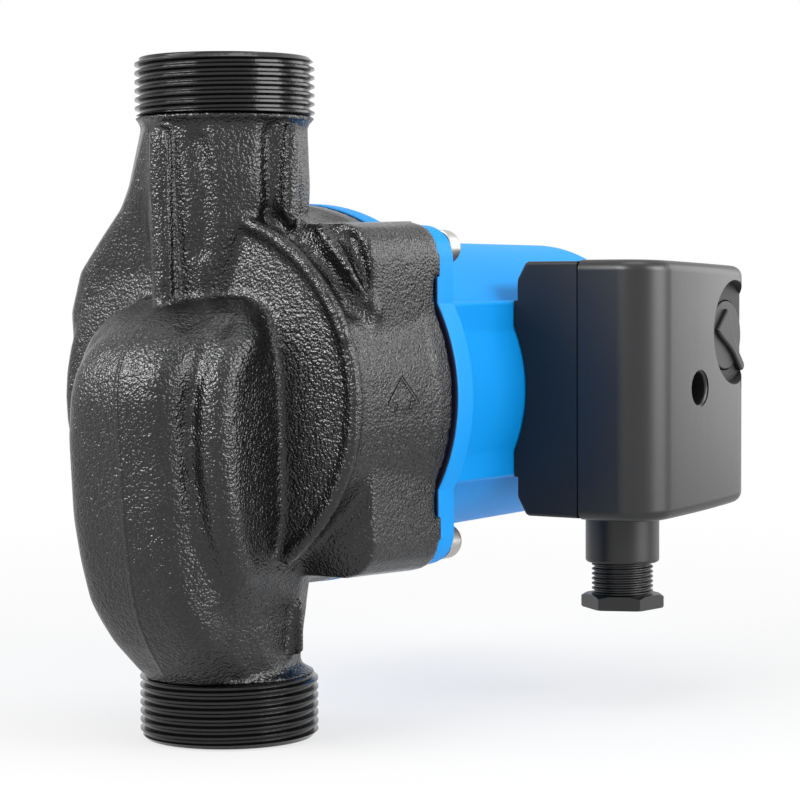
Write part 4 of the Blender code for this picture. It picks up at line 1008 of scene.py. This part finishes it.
def cover_shape(name, settings, inset, rim):
    """Tapered cover block with round upright corners that run into a crowned front."""
    x0 = COVER_LOW.x + inset
    x1 = COVER_HIGH.x - inset
    apex = COVER_LOW.y + inset
    corner = settings.corner / MM - inset
    tilt = math.radians(COVER_CROWN)
    radius = ((x1 - x0) / 2 - corner) / math.sin(tilt) + corner
    start = apex + radius - (radius - corner) * math.cos(tilt)
    plan = [(x0, rim)]
    plan += arc((x0 + corner, start), corner, 180, 270 - COVER_CROWN, 13)
    plan += arc(((x0 + x1) / 2, apex + radius), radius, 270 - COVER_CROWN, 270 + COVER_CROWN, 13)[1:-1]
    plan += arc((x1 - corner, start), corner, 270 + COVER_CROWN, 360, 13)
    plan += [(x1, rim)]
    half = COVER_HIGH.z - inset
    shape = slab(name, [(x, y, -half - 2.0) for x, y in plan], (0, 0, 2 * half + 4.0))
    slope = COVER_TAPER / (COVER_HIGH.x - COVER_LOW.x)
    for side in (-1, 1):
        cut_off(shape, (COVER_LOW.x, 0, side * half), (slope, 0, side))
    if inset == 0:
        def on_top(p):
            return abs(abs(p.z) - half + slope * (p.x - COVER_LOW.x)) < 0.01

        round_edges(
            shape,
            lambda a, b: on_top(a) and on_top(b) and a.z * b.z > 0 and min(a.y, b.y) < rim - 0.01,
            settings.edge / MM, 6,
        )
    return shape


class PUMP_OT_terminal_cover(Operator):
    """Moulded cover with the screw bore and the knob recess"""

    bl_idname = "pump.terminal_cover"
    bl_label = "Terminal cover"

    def execute(self, context):
        settings = context.scene.pump_box
        rim = (BASE_LOW.y + COVER_HIGH.y) / 2 - settings.seam / 2 / MM
        wall = settings.wall / MM
        cover = cover_shape("box_cover", settings, 0.0, rim)
        room = cover_shape("room", settings, wall, rim + 4.0)
        face = -COVER_LOW.y
        proud = face + 4.0
        floor = -KNOB_PIVOT.y
        carve(room, rod("column", COVER_SCREW_AXIS, FRONT_AXIS, 50.0, face + 8.0, 6.9))
        carve(room, rod("boss", KNOB_AXIS, FRONT_AXIS, floor - 2.4, face + 8.0, 17.8))
        carve(cover, room)
        carve(cover, rod("recess", KNOB_AXIS, FRONT_AXIS, floor, proud, 10.4, 96))
        dish = [(floor + 2.0, 0), (floor + 2.0, 15.0), (face - 1.2, 15.0), (face - 0.5, 15.3)]
        dish += [(proud, 15.3), (proud, 0)]
        carve(cover, turn("dish", dish, (KNOB_AXIS[0], 0, KNOB_AXIS[2] + 0.9), FRONT_AXIS, 96))
        bore = [(66.0, 0), (66.0, 4.6), (face - 1.3, 4.6)]
        bore += arc((face - 1.3, 5.5), 0.9, 270, 345, 6)
        bore += [(proud, 5.5), (proud, 0)]
        carve(cover, turn("bore", bore, COVER_SCREW_AXIS, FRONT_AXIS, 64))
        carve(cover, rod("spindle", KNOB_AXIS, FRONT_AXIS, 60.0, face, 3.8, 48))
        carve(cover, rod("shank", COVER_SCREW_AXIS, FRONT_AXIS, 50.0, 68.0, 2.3, 32))
        carve(cover, rod("gland", GLAND_AXIS, DOWN_AXIS, 20.0, 44.0, GLAND_HOLE, 64))
        close_cuts(cover)
        recess = (KNOB_PIVOT, 16.6, 1.0 - face)
        plastic = moulding("cover_moulding", settings.colour, 0.36, 0.022, recess)
        dress(cover, "pump", plastic, "moulding", "terminal_cover")
        return {"FINISHED"}


class PUMP_OT_speed_knob(Operator):
    """Speed knob: a disc with a raised pointer grip"""

    bl_idname = "pump.speed_knob"
    bl_label = "Speed knob"

    def execute(self, context):
        settings = context.scene.pump_box
        back = 0.3 - KNOB_PIVOT.y
        face = back + 2.2
        profile = [(back - 9.0, 0), (back - 9.0, 3.1), (back - 8.6, 3.5), (back, 3.5), (back, 9.8), (back + 0.3, 10.1)]
        profile += arc((face - 0.5, 9.6), 0.5, 90, 0, 5)
        profile += [(face, 0)]
        knob = turn("speed_dial", profile, KNOB_AXIS, FRONT_AXIS, 80)
        turn_angle = math.radians(GRIP_TURN)
        side = []
        for i in range(13):
            waist = math.sin(math.radians(90 * fade(i, 1, 9))) ** 1.4
            side.append((-6.4 + 18.9 * i / 12, 4.4 - 2.9 * waist))
        tip = arc((12.5, 0), 1.5, 90, -90, 9)[1:-1]
        outline = side + tip + [(u, -v) for u, v in reversed(side)]
        ring = []
        for u, v in outline:
            x = KNOB_AXIS[0] + u * math.cos(turn_angle) - v * math.sin(turn_angle)
            z = KNOB_AXIS[2] + u * math.sin(turn_angle) + v * math.cos(turn_angle)
            ring.append((x, -(face - 0.2), z))
        grip = slab("grip", ring, (0, -1.6, 0))
        top = -(face + 1.4)
        round_edges(grip, lambda a, b: max(abs(a.y - top), abs(b.y - top)) < 0.01, 0.75, 4)
        fuse(knob, grip)
        plastic = moulding("dial_moulding", shade(settings.colour, 0.85), 0.52, 0.006)
        dress(knob, "knob", plastic, "moulding", "speed_knob")
        return {"FINISHED"}


class PUMP_OT_cable_gland(Operator):
    """Gland body and its threaded hexagon screw"""

    bl_idname = "pump.cable_gland"
    bl_label = "Cable gland"

    def execute(self, context):
        settings = context.scene.pump_box
        threads = context.scene.pump_threads
        top = -GLAND_HIGH.z
        mouth = -GLAND_LOW.z
        collar = (GLAND_HIGH.x - GLAND_LOW.x) / 2
        profile = [(top, 5.5), (top, collar), (top + 2.4, collar), (top + 2.4, 10.7), (mouth - 1.0, 10.7)]
        profile += arc((mouth - 0.9, 9.8), 0.9, 90, 0, 5)
        profile += [(mouth, 9.2), (top + 3.4, 9.2), (top + 3.4, 5.5), (top, 5.5)]
        body = turn("gland_barrel", profile, GLAND_AXIS, DOWN_AXIS, 80)
        black = moulding("gland_moulding", shade(settings.colour, 0.62), 0.36, 0.008)
        dress(body, "pump", black, "moulding", "gland_body")
        start = -NUT_HIGH.z
        end = -NUT_LOW.z
        hex_top = end - 4.0
        screw = thread_rod(
            "clamp_nut", 8.9, threads.gland_pitch / MM, threads.gland_depth / MM, -hex_top - 1.0, -start, 64,
        )
        head = [(hex_top, 0), (hex_top, 10.8), (hex_top + 0.7, 12.01), (end - 0.4, 12.01), (end, 11.6), (end, 0)]
        disc = turn("head", head, (0, 0, 0), DOWN_AXIS, 96)
        reach = 20.8 / 2 / math.cos(math.pi / 6)
        turns = [math.radians(52.8 + 60 * i) for i in range(6)]
        hexagon = slab(
            "hexagon", [(reach * math.cos(t), reach * math.sin(t), -end - 1.0) for t in turns],
            (0, 0, end - hex_top + 2.0),
        )
        keep_within(hexagon, disc)
        fuse(screw, hexagon)
        carve(screw, rod("bore", (0, 0, 0), DOWN_AXIS, start - 4.0, end + 4.0, 5.5, 64))
        move(screw, GLAND_AXIS)
        dress(screw, "gland_clamp", black, "moulding", "gland_screw")
        return {"FINISHED"}


INNER_FINISHES = {
    "carbon": ("front_bearing", "rear_bearing", "thrust_ring"),
    "steel": ("wear_ring", "bearing_plate", "rotor_can", "shaft", "rotor_core"),
    "laminations": ("stator_core",),
    "copper": ("winding_front", "winding_rear"),
    "zinc": ("base_screw_1", "base_screw_2", "cover_screw", "gland_washer"),
    "moulding": ("impeller", "speed_switch", "terminal_block", "capacitor"),
    "rubber": ("casing_seal", "vent_seal", "gland_seal", "box_gasket"),
}


class PUMP_OT_inner_pieces(Operator):
    """Finishes of the pieces inside the pump and the terminal box"""

    bl_idname = "pump.inner_pieces"
    bl_label = "Inner pieces"

    def execute(self, context):
        finishes = {
            "carbon": moulding("bearing_carbon", (0.045, 0.045, 0.047), 0.36, 0.006),
            "steel": turned_metal("plate_steel", (0.56, 0.56, 0.57), 0.26),
            "laminations": laminations(),
            "copper": winding_copper(),
            "zinc": metal("fixing_zinc", (0.60, 0.60, 0.58), 0.34),
            "moulding": moulding("inner_moulding", (0.090, 0.085, 0.078), 0.45, 0.010),
            "rubber": soft_rubber("seal_rubber", 0.014),
        }
        for finish, nodes in INNER_FINISHES.items():
            for node in nodes:
                mesh = frame["nodes"][node].data
                mesh.materials.clear()
                mesh.materials.append(finishes[finish])
        return {"FINISHED"}


def softbox(name, place, aim, size, power, gloss_only):
    """A soft rectangular lamp that looks at a point, or a card that only shows in reflections."""
    settle()
    bpy.ops.object.light_add(type="AREA", location=place)
    lamp = bpy.context.object
    lamp.name = name
    lamp.rotation_euler = (Vector(aim) - Vector(place)).to_track_quat("-Z", "Y").to_euler()
    lamp.data.shape = "RECTANGLE"
    lamp.data.size = size[0]
    lamp.data.size_y = size[1]
    lamp.data.energy = power
    lamp.visible_diffuse = not gloss_only


def floor_finish(settings):
    """Pale floor that runs into the white of the room and keeps a faint shadow."""
    finish = Finish("floor_pale")
    x, y = finish.split()[:2]
    away = ((x - 0.06) * (x - 0.06) + y * y) ** 0.5
    glow = finish.node("ShaderNodeEmission", sockets={"Color": (1.0, 1.0, 1.0, 1.0)})
    matte = finish.node("ShaderNodeBsdfDiffuse", sockets={"Color": (*settings.floor, 1.0)})
    share = finish.seen() * (0.70 + 0.30 * finish.ramp(away, 0.1, 0.6))
    both = finish.node("ShaderNodeMixShader", sockets={0: share, 1: matte, 2: glow})
    finish.feed(finish.tree.nodes["Material Output"].inputs["Surface"], both)
    finish.tree.nodes.remove(finish.shader)
    return finish.material


def room_light(scene, ambient):
    """A white room, bright to the eye and to reflections and softer as a lamp."""
    scene.world = bpy.data.worlds.new("room")
    scene.world.use_nodes = True
    room = Graph(scene.world.node_tree)
    background = room.tree.nodes["Background"]
    room.feed(background.inputs["Color"], (1.0, 1.0, 1.0, 1.0))
    room.feed(background.inputs["Strength"], ambient + (1.0 - ambient) * room.seen())


FLOOR_SIZE = 40.0
FLOOR_GAP = 0.4
CAMERA_PLACE = (-0.5373, -0.4049, 0.0323)
CAMERA_TURNS = ((-56.92, "Z"), (87.19, "X"), (-0.264, "Z"))
SENSOR_WIDTH = 36.0
VIEW_RIGHT = Vector((0.546, -0.838, 0))
VIEW_NEAR = Vector((-0.838, -0.546, 0))
LAMP_AIM = Vector((0.06, -0.02, 0.0))
LAMP_REACH = 1.2
# Lamps: name, swing and climb from the view in degrees, size, power, and whether only reflections show it.
LAMPS = (
    ("left_lamp", -62.0, 32.0, (0.90, 0.30), 7.3, False),
    ("right_lamp", 60.0, 30.0, (0.90, 0.30), 6.8, False),
    ("top_lamp", 20.0, 84.0, (0.80, 0.60), 4.6, False),
    ("left_card", -58.0, 27.0, (0.85, 0.45), 16.0, True),
    ("right_card", 62.0, 12.0, (0.80, 0.80), 14.0, True),
    ("far_card", 120.0, 12.0, (0.70, 0.80), 4.6, True),
)


class PUMP_OT_stage(Operator):
    """Floor, soft lamps and the camera"""

    bl_idname = "pump.stage"
    bl_label = "Stage"

    def execute(self, context):
        settings = context.scene.pump_stage
        scene = context.scene
        scene.view_settings.view_transform = "Standard"
        settle()
        bpy.ops.mesh.primitive_plane_add(size=FLOOR_SIZE, location=(0, 0, (CASING_LOW.z - FLOOR_GAP) * MM))
        floor = new_piece("floor")
        floor.data.materials.append(floor_finish(settings))
        room_light(scene, settings.ambient)
        settle()
        bpy.ops.object.camera_add(location=CAMERA_PLACE)
        camera = context.object
        camera.name = "photo_camera"
        tilt = Matrix.Identity(4)
        for degrees, axis in CAMERA_TURNS:
            tilt = tilt @ Matrix.Rotation(math.radians(degrees), 4, axis)
        camera.rotation_euler = tilt.to_euler()
        camera.data.lens = settings.lens
        camera.data.sensor_width = SENSOR_WIDTH
        scene.camera = camera
        up = Vector(Z_AXIS)
        for name, swing, climb, size, power, gloss_only in LAMPS:
            swing = math.radians(swing)
            climb = math.radians(climb)
            flat = VIEW_RIGHT * math.sin(swing) + VIEW_NEAR * math.cos(swing)
            place = LAMP_AIM + (flat * math.cos(climb) + up * math.sin(climb)) * LAMP_REACH
            softbox(name, place, LAMP_AIM, size, power * settings.lamps, gloss_only)
        return {"FINISHED"}


class PUMP_PT_looks(Panel):
    """Sizes, finishes and build steps of the pump"""

    bl_idname = "PUMP_PT_looks"
    bl_label = "Circulator pump"
    bl_space_type = "VIEW_3D"
    bl_region_type = "UI"
    bl_category = "Pump"

    def draw(self, context):
        for group, settings in SETTINGS.items():
            values = getattr(context.scene, group)
            column = self.layout.column(align=True)
            column.label(text=settings.__doc__)
            for key in settings.__annotations__:
                column.prop(values, key)
        for step in STEPS:
            self.layout.operator(step.bl_idname)


SETTINGS = {
    "pump_casting": CastingSettings,
    "pump_threads": ThreadSettings,
    "pump_motor": MotorSettings,
    "pump_box": BoxSettings,
    "pump_stage": StageSettings,
}
STEPS = (
    PUMP_OT_casing,
    PUMP_OT_port_threads,
    PUMP_OT_motor_housing,
    PUMP_OT_flange_screws,
    PUMP_OT_vent_plug,
    PUMP_OT_terminal_base,
    PUMP_OT_terminal_cover,
    PUMP_OT_speed_knob,
    PUMP_OT_cable_gland,
    PUMP_OT_inner_pieces,
    PUMP_OT_stage,
)
CLASSES = (*SETTINGS.values(), *STEPS, PUMP_PT_looks)


def register():
    """Adds the settings, the build steps and the panel."""
    for kind in CLASSES:
        bpy.utils.register_class(kind)
    for group, settings in SETTINGS.items():
        setattr(bpy.types.Scene, group, PointerProperty(type=settings))


def unregister():
    """Takes them away again."""
    for group in SETTINGS:
        delattr(bpy.types.Scene, group)
    for kind in reversed(CLASSES):
        bpy.utils.unregister_class(kind)


def main():
    """Builds the pump's looks and its stage."""
    register()
    for step in STEPS:
        family, name = step.bl_idname.split(".")
        getattr(getattr(bpy.ops, family), name)()
    settle()


if __name__ == "__main__":
    main()
